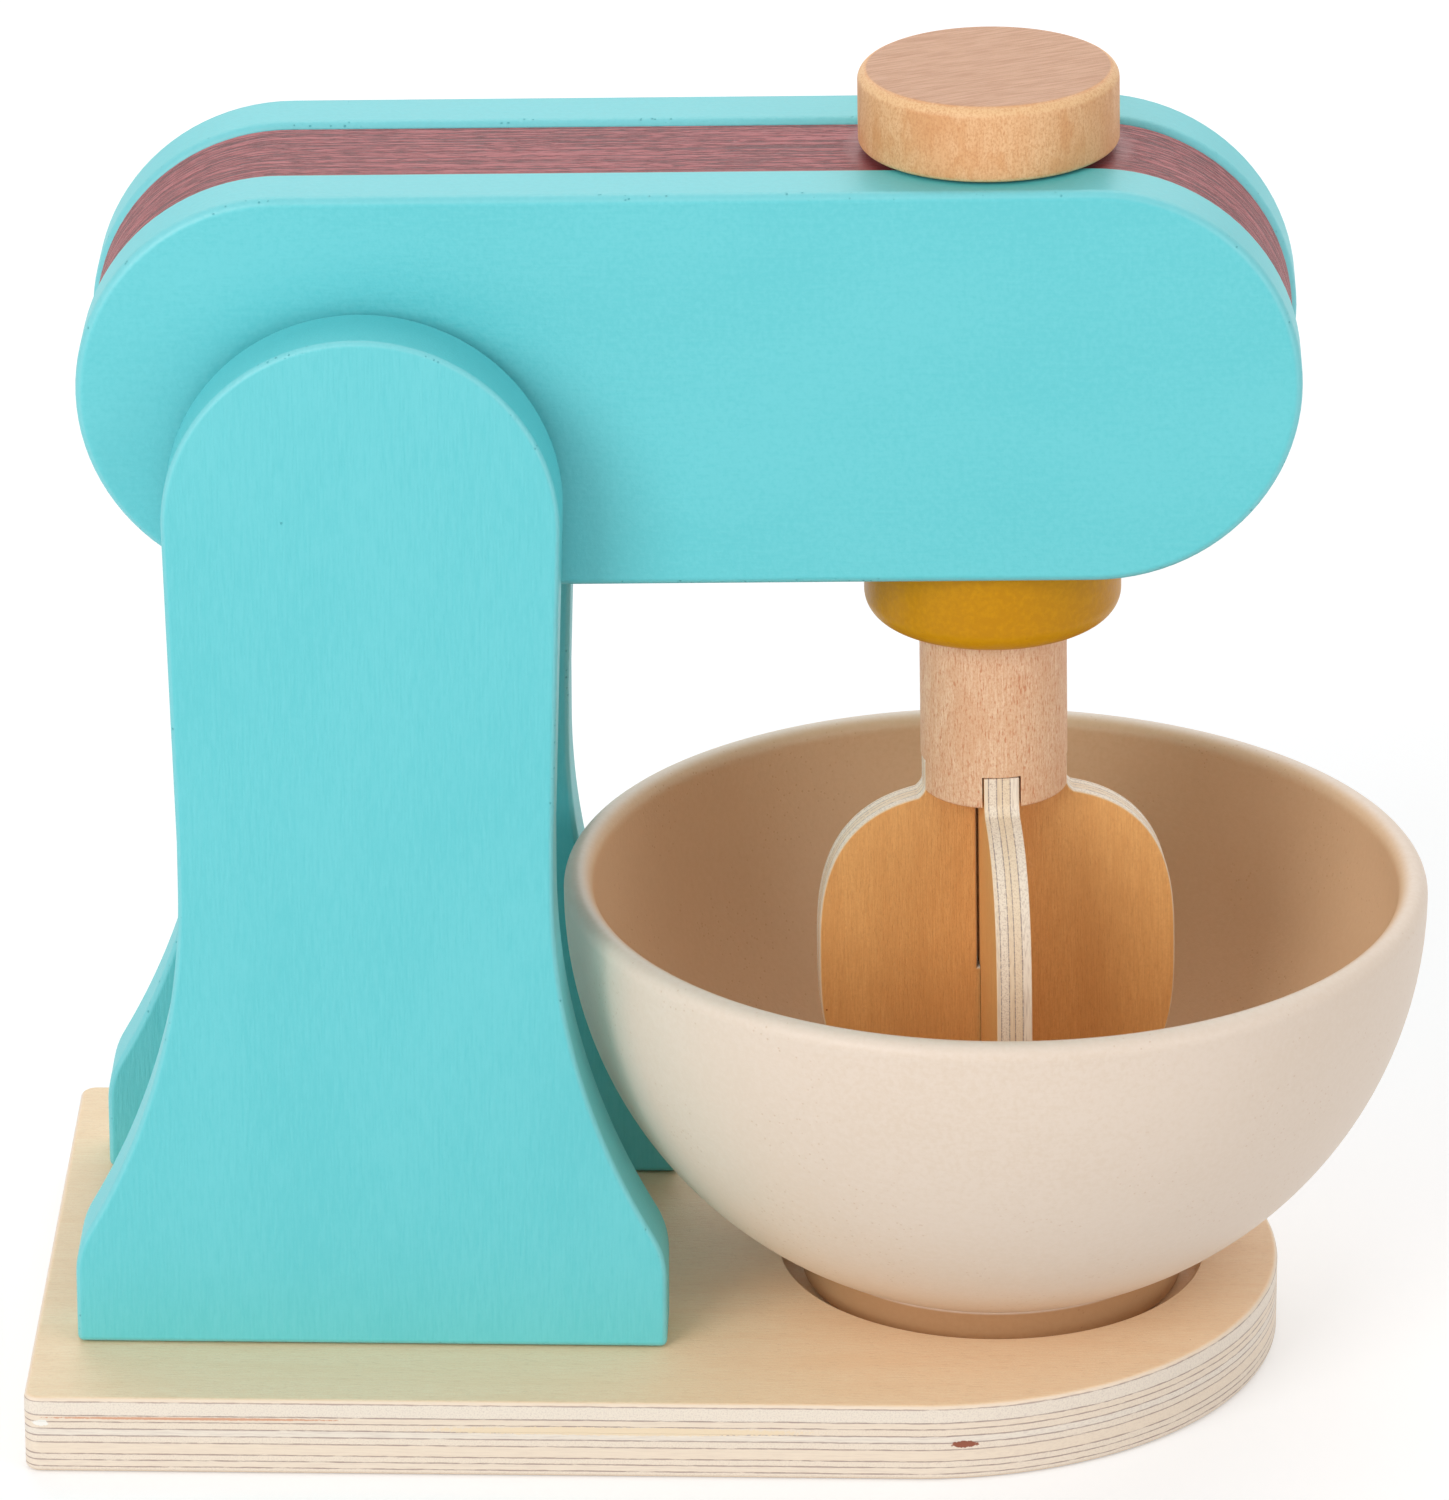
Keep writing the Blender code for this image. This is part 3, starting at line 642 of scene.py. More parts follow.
def striped_paint(name, colours, own_frame, roughness):
    """Thin paint that sank into the plies' edges, so their fibres stand as long grooves round the rim."""
    low, high, arris_tone = colours
    material, tree, shader = new_finish(name, roughness)
    place = places(tree, own_frame)
    drift = maths(tree, "SUBTRACT", noise(tree, stretched(tree, place, 0.02, 0.0, 0.02), 1.0, 2.0), 0.5)
    shift = new_node(tree, "ShaderNodeCombineXYZ")
    tree.links.new(times(tree, drift, 1.6), shift.inputs[1])
    moved = vector_of(tree, "ADD", place, shift.outputs[0])
    across = split_up(tree, moved)["Y"]
    ply = maths(tree, "FRACT", times_plus(tree, across, 1 / CORE_PLY, 20.0))
    seam = ramp(tree, maths(tree, "ABSOLUTE", maths(tree, "SUBTRACT", ply, 0.5)), 0.42, 0.5)
    patchy = noise(tree, stretched(tree, place, 0.05, 0.35, 0.05), 1.0, 3.0, 0.6)
    seam = times(tree, seam, ramp(tree, patchy, 0.4, 0.6))
    long = noise(tree, stretched(tree, moved, 0.012, 1.0, 0.012), 1.5, 3.0, 0.55)
    fine = noise(tree, stretched(tree, moved, 0.09, 1.0, 0.09), 2.6, 3.0, 0.6)
    dash = noise(tree, stretched(tree, moved, 0.13, 1.6, 0.13), 1.7, 2.0, 0.5)
    both = times_plus(tree, fine, 0.5, times(tree, long, 0.5))
    groove = maths(tree, "MAXIMUM", ramp(tree, both, 0.52, 0.42), seam)
    groove = maths(tree, "MAXIMUM", groove, ramp(tree, dash, 0.6, 0.68))
    body = blend(tree, groove, high, low)
    # Painted shade on the core under the knob and along the front plank: a darker red there, which is also
    # glossier and has less relief.
    from_knob = vector_of(tree, "SUBTRACT", place, tuple((HEAD_FRAME.inverted() @ SPINDLE) / MM))
    away = vector_of(tree, "LENGTH", stretched(tree, from_knob, 1.0, 1.0, 0.0))
    knob_shade = ramp(tree, away, 24.0, 28.0, 1.0, 0.0)
    plank_shade = ramp(tree, across, -11.0, -12.2)
    shade_and_gloss = maths(tree, "MAXIMUM", knob_shade, plank_shade)
    body = blend(tree, times(tree, shade_and_gloss, 0.8), body, KNOB_SHADE_RED)
    edge = use_group(tree, ARRIS, Place=place, Facing=direction(tree, own_frame, (0, 1, 0)))
    body = blend(tree, times(tree, edge["Edge"], 0.3), body, arris_tone)
    tree.links.new(body, shader.inputs["Base Color"])
    tree.links.new(ramp(tree, shade_and_gloss, 0.0, 1.0, roughness, 0.42), shader.inputs["Roughness"])
    relief_share = ramp(tree, shade_and_gloss, 0.0, 1.0, 1.0, 0.25)
    raised = times_plus(tree, groove, -0.5, both)
    relief(tree, shader, times(tree, raised, relief_share), 0.4 * MM)
    shader.inputs["Specular IOR Level"].default_value = 0.7
    return material


def bare_wood(name, colours, own_frame, grain_along, roughness, flecks=0.5, mottle=0.3, blotch=0.5,
              streaks=1.0, end_colours=None):
    """Sanded wood. The colours are its ground, its darker grain, and its flecks; ends may differ."""
    ground, dark, fleck = colours
    material, tree, shader = new_finish(name, roughness)
    place = places(tree, own_frame, grain_along)
    grain = use_group(tree, GRAIN, Place=place)
    fibre = ramp(tree, grain["Fibre"], 0.36, 0.68)
    body = blend(tree, times(tree, fibre, streaks), ground, dark)
    cloud = noise(tree, stretched(tree, place, 0.6, 1.0, 1.0), 0.13, 4.0, 0.65)
    cloud = ramp(tree, cloud, 0.46, 0.62)
    body = blend(tree, times(tree, cloud, 0.7), body, dark)
    bands = times(tree, ramp(tree, grain["Bands"], 0.42, 0.7), blotch)
    body = blend(tree, bands, body, dark)
    body = blend(tree, times(tree, grain["Flecks"], flecks), body, fleck)
    spots = times(tree, ramp(tree, grain["Mottle"], 0.42, 0.66), mottle)
    body = blend(tree, spots, body, fleck)
    if end_colours:
        low, high, ring = end_colours
        facing = direction(tree, own_frame, (0, 0, 1))
        sawn = places(tree, own_frame @ Matrix.Rotation(END_GRAIN_TURN, 4, "Z"))
        sawn_lines = noise(tree, stretched(tree, sawn, 0.07, 1.0, 1.0), 1.7, 4.0, 0.65)
        end = blend(tree, ramp(tree, sawn_lines, 0.36, 0.64), low, high)
        body = blend(tree, ramp(tree, facing, 0.93, 0.99), body, end)
        rounding = hump(tree, facing, 0.1, 0.5, 0.8, 0.97)
        stipple = ramp(tree, grain["Mottle"], 0.62, 0.4, 0.35, 1.0)
        body = blend(tree, times(tree, rounding, stipple), body, ring)
    tree.links.new(body, shader.inputs["Base Color"])
    gloss = ramp(tree, grain["Fibre"], 0.3, 0.7, roughness - 0.05, roughness + 0.07)
    tree.links.new(gloss, shader.inputs["Roughness"])
    relief(tree, shader, grain["Height"], 0.06 * MM)
    return material


def spot(tree, place, middle, size):
    """A ragged patch round a place, both in millimetres."""
    around = vector_of(tree, "DIVIDE", vector_of(tree, "SUBTRACT", place, middle), size)
    rough = noise(tree, place, 1.6, 3.0, 0.6)
    away = maths(tree, "ADD", rough, vector_of(tree, "LENGTH", around))
    return ramp(tree, away, 1.4, 1.6, 1.0, 0.0)


def plywood(name, plies, own_frame, grain_along, depth_axis, span, face_tones, edge_tones, marks=()):
    """Plywood: a veneered face, and an edge where each ply shows its fibres along or across."""
    pale, dark, fleck = face_tones
    cream, grey, warm, line = edge_tones
    material, tree, shader = new_finish(name, 0.5)
    place = places(tree, own_frame, grain_along)
    upright_place = places(tree, own_frame)
    low, high = span
    depth = split_up(tree, upright_place)[depth_axis]
    through = times_plus(tree, depth, MM / (low - high), high / (high - low))
    layers = use_group(tree, plies, Depth=through, Place=upright_place)
    grain = use_group(tree, GRAIN, Place=place)
    face = blend(tree, ramp(tree, grain["Fibre"], 0.36, 0.66, 0.0, 0.6), pale, dark)
    bands = times(tree, ramp(tree, grain["Bands"], 0.4, 0.68), 0.4)
    face = blend(tree, bands, face, dark)
    mottle = times(tree, ramp(tree, grain["Mottle"], 0.4, 0.68), 0.5)
    face = blend(tree, mottle, face, dark)
    face = blend(tree, times(tree, grain["Flecks"], 0.16), face, fleck)
    face = blend(tree, pinholes(tree, upright_place, 7.0, 0.22, 0.45, 0.55), face, fleck, "MULTIPLY")
    speck = noise(tree, upright_place, 3.0, 3.0, 0.7)
    streak = noise(tree, stretched(tree, place, 0.06, 1.0, 1.0), 3.0, 3.0, 0.6)
    cut_ends = blend(tree, ramp(tree, speck, 0.42, 0.74), cream, grey)
    cut_sides = blend(tree, ramp(tree, streak, 0.4, 0.7, 0.0, 0.7), cream, grey)
    edge = blend(tree, layers["Across"], cut_sides, cut_ends)
    edge = blend(tree, times(tree, layers["Tone"], 0.5), edge, warm)
    edge = blend(tree, times(tree, layers["Glue"], GLUE_SHOWS), edge, line)
    for colour, middle, size in marks:
        edge = blend(tree, spot(tree, upright_place, middle, size), edge, colour)
    facing = direction(tree, own_frame, {"Y": (0, 1, 0), "Z": (0, 0, 1)}[depth_axis])
    on_face = ramp(tree, facing, 0.72, 0.9)
    body = blend(tree, on_face, edge, face)
    rounding = hump(tree, facing, 0.2, 0.6, 0.9, 0.99)
    body = blend(tree, times(tree, rounding, 0.5), body, warm)
    tree.links.new(body, shader.inputs["Base Color"])
    low_edge = times_plus(tree, layers["Glue"], -0.8, times(tree, speck, 0.5))
    heights = new_node(tree, "ShaderNodeMix", data_type="FLOAT")
    tree.links.new(on_face, heights.inputs[0])
    tree.links.new(low_edge, heights.inputs[2])
    tree.links.new(grain["Height"], heights.inputs[3])
    relief(tree, shader, heights.outputs[0], 0.07 * MM)
    return material


def bowl_paint():
    """Cream paint: plain outside and on the lip, with painted shade inside, and a darker warm painted shade
    on the foot where it sits in the base's recess.
    """
    low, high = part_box("bowl")
    bowl_frame = foot_of("bowl")
    material = painted("cream on bowl", BOWL_CREAM, bowl_frame, "X", 0.44, grain=0.1, skin=0.3, holes=0.5,
                       depth=0.05 * MM, reflects=0.4)
    tree = material.node_tree
    shader = tree.nodes["Principled BSDF"]
    outside = shader.inputs["Base Color"].links[0].from_socket
    place = places(tree, bowl_frame)
    height = split_up(tree, place)["Z"]
    flat = stretched(tree, place, 1.0, 1.0, 0.0)
    normal = new_node(tree, "ShaderNodeTexCoord").outputs["Normal"]
    inward = vector_of(tree, "DOT_PRODUCT", vector_of(tree, "NORMALIZE", flat), normal)
    shaded_inside = ramp(tree, inward, 0.0, -0.8)
    upward = vector_of(tree, "DOT_PRODUCT", normal, (0.0, 0.0, 1.0))
    rim = (high.z - low.z - BOWL_WIDEST_BELOW_RIM) / MM
    floor = times(tree, ramp(tree, upward, 0.6, 0.9), maths(tree, "LESS_THAN", height, rim))
    shaded_inside = maths(tree, "MAXIMUM", shaded_inside, floor)
    # Painted shade: the inner wall and the inside floor are darkened with the inside tint.
    inside_shade = blend(tree, 1.0, outside, BOWL_INSIDE_SHADE, "MULTIPLY")
    body = blend(tree, shaded_inside, outside, inside_shade)
    # Painted shade on the foot, where it sits in the recess under the bowl's belly.
    foot_top = BOWL_FOOT_HEIGHT / MM
    foot = ramp(tree, height, foot_top - 0.6, foot_top, 1.0, 0.0)
    body = blend(tree, foot, body, blend(tree, 1.0, outside, BOWL_FOOT_SHADE, "MULTIPLY"))
    tree.links.new(body, shader.inputs["Base Color"])
    return material


def plated_steel():
    material, tree, shader = new_finish("zinc plate", 0.32)
    place = places(tree, WORLD_FRAME)
    cloud = noise(tree, place, 0.9, 4.0, 0.6)
    body = blend(tree, ramp(tree, cloud, 0.35, 0.7), *ZINC)
    tree.links.new(body, shader.inputs["Base Color"])
    shader.inputs["Metallic"].default_value = 1.0
    tree.links.new(ramp(tree, cloud, 0.3, 0.7, 0.26, 0.42), shader.inputs["Roughness"])
    relief(tree, shader, noise(tree, stretched(tree, place, 1.0, 1.0, 6.0), 3.0, 2.0), 0.02 * MM)
    return material


# The colours, as the eye reads them. Paints have a low, a high and an arris tone, a painted highlight where
# it is paler.
TURQUOISE = (srgb(90, 202, 209), srgb(101, 207, 214), srgb(138, 215, 222))
DUSTY_RED = (srgb(100, 32, 38), srgb(172, 82, 86), srgb(146, 62, 66))
# The core's red in its painted shade under the knob and along the front plank.
KNOB_SHADE_RED = srgb(140, 54, 54)
MUSTARD = (srgb(196, 134, 0), srgb(206, 144, 2), srgb(214, 156, 20))
BOWL_CREAM = (srgb(230, 210, 190), srgb(235, 217, 200), srgb(235, 217, 200))
# Tints for painted shade, inside the bowl and on its foot in the recess.
BOWL_INSIDE_SHADE = srgb(243, 224, 196)
BOWL_FOOT_SHADE = srgb(214, 180, 142)
ZINC = (srgb(196, 194, 186), srgb(168, 164, 152))
# Bare wood has its ground, its darker grain and its flecks. A sawn end has a low, a high and its ring.
KNOB_MAPLE = (srgb(240, 192, 142), srgb(222, 158, 102), srgb(210, 142, 88))
KNOB_END = (srgb(192, 140, 104), srgb(212, 164, 130), srgb(242, 198, 146))
SHAFT_MAPLE = (srgb(246, 212, 176), srgb(230, 184, 144), srgb(206, 122, 76))
BEECH = (srgb(224, 184, 140), srgb(204, 156, 112), srgb(176, 116, 76))
# Ply has a face with its ground, grain and flecks, and an edge with cream, grey and warm plies and glue.
BASE_FACE = (srgb(255, 228, 192), srgb(248, 210, 168), srgb(206, 160, 118))
BASE_EDGE = (srgb(246, 234, 218), srgb(226, 212, 200), srgb(246, 222, 194), srgb(150, 122, 118))
# A knot, a chip and two streaks on the base's front edge, with their places (x, z) and sizes.
BASE_MARKS = (
    (srgb(150, 84, 60), (43.5, 7.2), (2.4, 0.7)),
    (srgb(252, 248, 240), (-125.0, 10.0), (1.4, 0.6)),
    (srgb(222, 168, 138), (-98.0, 11.1), (26.0, 0.26)),
    (srgb(246, 224, 192), (-20.0, 9.4), (34.0, 0.8)),
)
BLADE_FACE = (srgb(242, 186, 116), srgb(222, 160, 94), srgb(188, 124, 72))
BLADE_EDGE = (srgb(250, 236, 216), srgb(206, 186, 168), srgb(240, 208, 160), srgb(138, 118, 122))

# The finishes, in their pieces' frames.
WORLD_FRAME = Matrix.Identity(4)
CORE_PLY = 3.25
END_GRAIN_TURN = math.radians(24)
UPRIGHT_PAINT = painted(
    "turquoise on uprights", TURQUOISE, WORLD_FRAME, "Z", 0.46, grain=0.9, skin=0.3, reflects=0.8
)
HEAD_PAINT = painted(
    "turquoise on head", TURQUOISE, HEAD_FRAME, "X", 0.44, grain=0.25, skin=0.6, reflects=0.8
)
CORE_PAINT = striped_paint("dusty red on core", DUSTY_RED, HEAD_FRAME, 0.5)
COLLAR_PAINT = painted(
    "mustard on collar", MUSTARD, SPINDLE_FRAME, "Z", 0.36, across=(0, 0, 1), grain=0.1, skin=1.0, holes=0.3,
    depth=0.07 * MM, reflects=0.2,
)
BOWL_PAINT = bowl_paint()
KNOB_WOOD = bare_wood(
    "maple knob", KNOB_MAPLE, SPINDLE_FRAME, "Z", 0.5, flecks=0.45, mottle=0.7, blotch=0.45, streaks=0.3,
    end_colours=KNOB_END,
)
SHAFT_WOOD = bare_wood("maple shaft", SHAFT_MAPLE, WHISK_FRAME, "Z", 0.52, flecks=0.75, mottle=0.35)
DOWEL_WOOD = bare_wood("beech dowel", BEECH, WORLD_FRAME, "Y", 0.55)
DRIVE_WOOD = bare_wood("beech drive dowel", BEECH, SPINDLE_FRAME, "Z", 0.55)
STEEL = plated_steel()


# The stand.
def make_base():
    low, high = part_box("base_board")
    middle = middle_of("base_board")
    end = high.x - middle.x
    side = high.y - middle.y
    inner = BASE_CORNER - side
    outline = arc((end - side, 0.0), side, -90, 90, 2 * END_STEPS)
    outline += arc((BASE_CORNER - end, -inner), BASE_CORNER, 90, 180, ROUND_STEPS)
    outline += arc((BASE_CORNER - end, inner), BASE_CORNER, 180, 270, ROUND_STEPS)
    board = cut_out("base_plywood", outline, high.z - low.z)
    soften(board, BASE_ARRIS, 50)
    recess = rod("recess_cut", RECESS_RADIUS, 2 * RECESS_DEPTH, BOWL_STEPS)
    recess.rotation_euler = (math.radians(90), 0.0, 0.0)
    recess.location = (middle_of("bowl").x - middle.x, high.z - middle.z, 0.0)
    carve(board, recess)
    soften(board, RECESS_ARRIS, 60, 3)
    front = low.y / MM
    marks = [(tone, (x, front, z), (wide, 4.0, tall)) for tone, (x, z), (wide, tall) in BASE_MARKS]
    span = (low.z, high.z)
    finish = plywood("birch ply base", BASE_PLIES, WORLD_FRAME, "X", "Z", span, BASE_FACE, BASE_EDGE, marks)
    put(board, Matrix.Translation(middle) @ ALONG_Y, "stand", finish, "base_board")


def upright_outline(foot_low, foot_high):
    """The foot, a hollow flare up each side, the waist, and the round crown, from the pivot."""
    foot = (foot_high.x - foot_low.x) / 2
    crown = foot_high.z - PIVOT.z
    ground = foot_low.z - PIVOT.z
    waist = WAIST_WIDTH / 2
    rise = WAIST_LOW - FOOT_SIDE_HEIGHT
    hollow = ((foot - waist) ** 2 + rise**2) / (2 * (foot - waist))
    sweep = math.degrees(math.asin(rise / hollow))
    half = [(foot, ground)]
    flare = arc((waist + hollow, ground + WAIST_LOW), hollow, 180 + sweep, 180, FLARE_STEPS)
    corner = Vector((foot, ground + FOOT_SIDE_HEIGHT))
    half += rounded(corner - Vector((0.0, FOOT_CORNER)), corner, Vector(flare[FOOT_CORNER_STEPS]))
    half += flare[FOOT_CORNER_STEPS + 1:]
    below = -ground - WAIST_HIGH
    half.append((waist, -below))
    touch = math.degrees(math.acos(crown / math.hypot(waist, below)) - math.atan2(below, waist))
    half += arc((0.0, 0.0), crown, touch, 90, END_STEPS)
    return half + [(-x, z) for x, z in reversed(half[:-1])]


def make_uprights():
    """One upright, sawn and softened, and its copy behind the head."""
    outline = upright_outline(*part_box("front_upright"))
    front = cut_out("front_upright_painted", outline, thickness_of("front_upright"))
    soften(front, UPRIGHT_ARRIS, 40)
    rear = copy_of(front, "rear_upright_painted")
    for upright, node in ((front, "front_upright"), (rear, "rear_upright")):
        place = Matrix.Translation((PIVOT.x, middle_of(node).y, PIVOT.z))
        put(upright, place, "stand", UPRIGHT_PAINT, node)


def make_cross_dowels():
    for name, node, radius in (
        ("pivot_rod", "pivot_dowel", PIVOT_DOWEL_RADIUS), ("stop_rod", "stop_dowel", STOP_DOWEL_RADIUS),
    ):
        dowel = rod_with_ends(name, radius, thickness_of(node), DOWEL_CHAMFER, 2)
        place = Matrix.Translation(middle_of(node)) @ ALONG_Y
        put(dowel, place, "stand", DOWEL_WOOD, node)


def make_washers():
    """One thin ring and its copy, each side of the head."""
    thickness = thickness_of("pivot_washer_front")
    front = rod_with_ends("front_washer", WASHER_RADIUS, thickness, WASHER_ARRIS, 3)
    carve(front, rod("washer_hole", PIVOT_DOWEL_RADIUS + RUNNING_GAP, 4 * thickness))
    rear = copy_of(front, "rear_washer")
    for washer, node in ((front, "pivot_washer_front"), (rear, "pivot_washer_rear")):
        place = Matrix.Translation(middle_of(node)) @ ALONG_Y
        put(washer, place, "stand", DOWEL_WOOD, node)


def screw_profile(length):
    """Half a countersunk screw from its head up: the cone, the shank, ridges for a thread, the point."""
    profile = [
        (0.0, 0.0), (SCREW_HEAD_RADIUS - SCREW_HEAD_ARRIS, 0.0),
        (SCREW_HEAD_RADIUS, 1.25 * SCREW_HEAD_ARRIS), (SCREW_HEAD_RADIUS, 2.5 * SCREW_HEAD_ARRIS),
        (SCREW_RADIUS, SCREW_HEAD_HEIGHT),
    ]
    along = SCREW_HEAD_HEIGHT + SCREW_SHANK_LENGTH
    profile.append((SCREW_RADIUS, along))
    profile.append((SCREW_CORE_RADIUS, along + 0.3 * MM))
    while along < length - SCREW_POINT_LENGTH - SCREW_PITCH:
        for share, radius in ((0.3, SCREW_CORE_RADIUS), (0.5, SCREW_RADIUS), (0.7, SCREW_CORE_RADIUS)):
            profile.append((radius, along + share * SCREW_PITCH))
        along += SCREW_PITCH
    return profile + [(SCREW_CORE_RADIUS, length - SCREW_POINT_LENGTH), (0.0, length)]


def make_screws():
    """One screw with its cross slot, and three copies."""
    low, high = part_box("upright_screw_1")
    first = turn_on_lathe("wood_screw_1", screw_profile(high.z - low.z), SCREW_STEPS)
    for turn in (0.0, math.radians(90)):
        slot = block("driver_slot", (SCREW_SLOT_LENGTH, SCREW_SLOT_WIDTH, 2 * SCREW_SLOT_DEPTH), (0, 0, 0))
        slot.rotation_euler = (0.0, 0.0, turn)
        carve(first, slot)
    screws = [first] + [copy_of(first, f"wood_screw_{number}") for number in (2, 3, 4)]
    for number, screw in enumerate(screws, 1):
        node = f"upright_screw_{number}"
        put(screw, foot_of(node), "stand", STEEL, node)


# The head.
def head_outline(inset):
    """Straight above and below with full round ends, from the pivot."""
    radius = HEAD_HEIGHT / 2 - inset
    middle = HEAD_HEIGHT / 2 - HEAD_BELOW_PIVOT
    rear = inset + radius - HEAD_BEHIND_PIVOT
    nose = HEAD_LENGTH - HEAD_BEHIND_PIVOT - inset - radius
    nose_end = arc((nose, middle), radius, -90, 90, END_STEPS)
    return nose_end + arc((rear, middle), radius, 90, 270, END_STEPS)


def make_head():
    """One plank and its copy, with the core between them a little smaller all round."""
    front = cut_out("front_plank", head_outline(0.0), thickness_of("head_front_plank"))
    soften(front, PLANK_ARRIS, 40, 6)
    rear = copy_of(front, "rear_plank")
    for plank, node in ((front, "head_front_plank"), (rear, "head_rear_plank")):
        place = HEAD_FRAME @ Matrix.Translation((0.0, middle_of(node).y, 0.0))
        put(plank, place, "head", HEAD_PAINT, node)
    core = cut_out("red_core", head_outline(CORE_RECESS), thickness_of("head_core"))
    soften(core, CORE_ARRIS, 40, 3)
    put(core, HEAD_FRAME, "head", CORE_PAINT, "head_core")


# What turns with the knob.
def turned_disc(name, radius, height, top_round, bottom_round, hole_depth):
    """A disc with its edges rounded, and a hole from below for the drive dowel."""
    disc = rod(name, radius, height)
    round_over(disc, height / 2, top_round)
    round_over(disc, -height / 2, *bottom_round)
    hole = rod("dowel_hole", DRIVE_DOWEL_RADIUS + SEAT_GAP, 2 * hole_depth)
    hole.location = (0.0, 0.0, -height / 2)
    carve(disc, hole)
    return disc


def make_drive():
    low = HEAD_HEIGHT + RUNNING_GAP
    rounds = (KNOB_TOP_ROUND, (KNOB_BOTTOM_ROUND,))
    knob = turned_disc("knob_turned", KNOB_RADIUS, KNOB_HEIGHT, *rounds, KNOB_HOLE_DEPTH)
    put(knob, SPINDLE_FRAME @ up_by(low + KNOB_HEIGHT / 2), "drive", KNOB_WOOD, "knob")

    rounds = (COLLAR_UPPER_ROUND, (COLLAR_LOWER_ROUND, 2 * ROUND_STEPS))
    collar = turned_disc("collar_turned", COLLAR_RADIUS, COLLAR_HEIGHT, *rounds, 2 * COLLAR_HEIGHT)
    place = SPINDLE_FRAME @ up_by(-RUNNING_GAP - COLLAR_HEIGHT / 2)
    put(collar, place, "drive", COLLAR_PAINT, "collar")

    top = low + KNOB_HOLE_DEPTH - SEAT_GAP
    bottom = -RUNNING_GAP - COLLAR_HEIGHT - DRIVE_DOWEL_BELOW_COLLAR
    dowel = rod_with_ends("drive_rod", DRIVE_DOWEL_RADIUS, top - bottom, DOWEL_CHAMFER, 2)
    place = SPINDLE_FRAME @ up_by((top + bottom) / 2)
    put(dowel, place, "drive", DRIVE_WOOD, "drive_dowel")


def blade_outline(tab_top, body_top):
    """A rounded square with a tab that goes up into the shaft's slot."""
    steps = 3 * END_STEPS
    half_height = BLADE_HEIGHT / 2
    middle = body_top - half_height
    tab = BLADE_TAB_WIDTH / 2
    body = []
    for i in range(steps + 1):
        angle = math.pi / 2 - 2 * math.pi * i / steps
        across = math.copysign(abs(math.cos(angle)) ** (2 / BLADE_ROUNDNESS), math.cos(angle))
        up = math.copysign(abs(math.sin(angle)) ** (2 / BLADE_ROUNDNESS), math.sin(angle))
        x = BLADE_HALF_WIDTH * across
        if up < 0 or abs(x) > tab + BLADE_NECK:
            body.append((x, middle + half_height * up))
    corner = Vector((tab, body_top))
    neck = rounded(corner + Vector((0.0, BLADE_NECK)), corner, Vector(body[0]))
    mirrored = [(-x, z) for x, z in reversed(neck)]
    return [(-tab, tab_top), (tab, tab_top)] + neck + body[1:-1] + mirrored


def make_whisk():
    bottom = -SHAFT_LENGTH
    slot_top = bottom + SHAFT_SLOT_DEPTH
    shaft = rod_with_ends("whisk_shaft_turned", SHAFT_RADIUS, SHAFT_LENGTH, SHAFT_ARRIS, 3)
    bore = rod("shaft_bore", DRIVE_DOWEL_RADIUS + RUNNING_GAP, 2 * (DRIVE_DOWEL_BELOW_COLLAR + SEAT_GAP))
    bore.location = (0.0, 0.0, SHAFT_LENGTH / 2)
    carve(shaft, bore)
    for turn in (0.0, math.radians(90)):
        size = (4 * SHAFT_RADIUS, BLADE_THICKNESS + 2 * SEAT_GAP, 2 * SHAFT_SLOT_DEPTH)
        slot = block("shaft_slot", size, (0.0, 0.0, -SHAFT_LENGTH / 2))
        slot.rotation_euler = (0.0, 0.0, turn)
        carve(shaft, slot)
    soften(shaft, SHAFT_SLOT_ARRIS, 50, 2)
    put(shaft, WHISK_FRAME @ up_by(-SHAFT_LENGTH / 2), "whisk", SHAFT_WOOD, "whisk_shaft")

    tab_top = slot_top - SEAT_GAP
    body_top = bottom - SEAT_GAP
    body_low = body_top - BLADE_HEIGHT
    lap = body_top - BLADE_HEIGHT / 2 - BLADE_SLIT_PAST_MIDDLE
    slit = BLADE_THICKNESS + BLADE_SLIT_SPARE
    from_above = (lap - SEAT_GAP / 2, tab_top + CUT_OVERRUN)
    from_below = (body_low - CUT_OVERRUN, lap + SEAT_GAP / 2)
    side = cut_out("side_blade", blade_outline(tab_top, body_top), BLADE_THICKNESS)
    front = copy_of(side, "front_blade")
    for blade, name, node, turn, (start, end), aside in (
        (side, "side_blade", "whisk_blade_side", 0.0, from_above, -BLADE_SLIT_ASIDE),
        (front, "front_blade", "whisk_blade_front", 90.0, from_below, 0.0),
    ):
        size = (slit, 2 * BLADE_THICKNESS, end - start)
        carve(blade, block("blade_slit", size, (aside, 0.0, (start + end) / 2)))
        soften(blade, BLADE_ARRIS, 45, 3)
        place = WHISK_FRAME @ Matrix.Rotation(math.radians(turn), 4, "Z")
        span = (-BLADE_THICKNESS / 2, BLADE_THICKNESS / 2)
        finish = plywood("birch ply " + name, BLADE_PLIES, place, "Z", "Y", span, BLADE_FACE, BLADE_EDGE)
        put(blade, place, "whisk", finish, node)


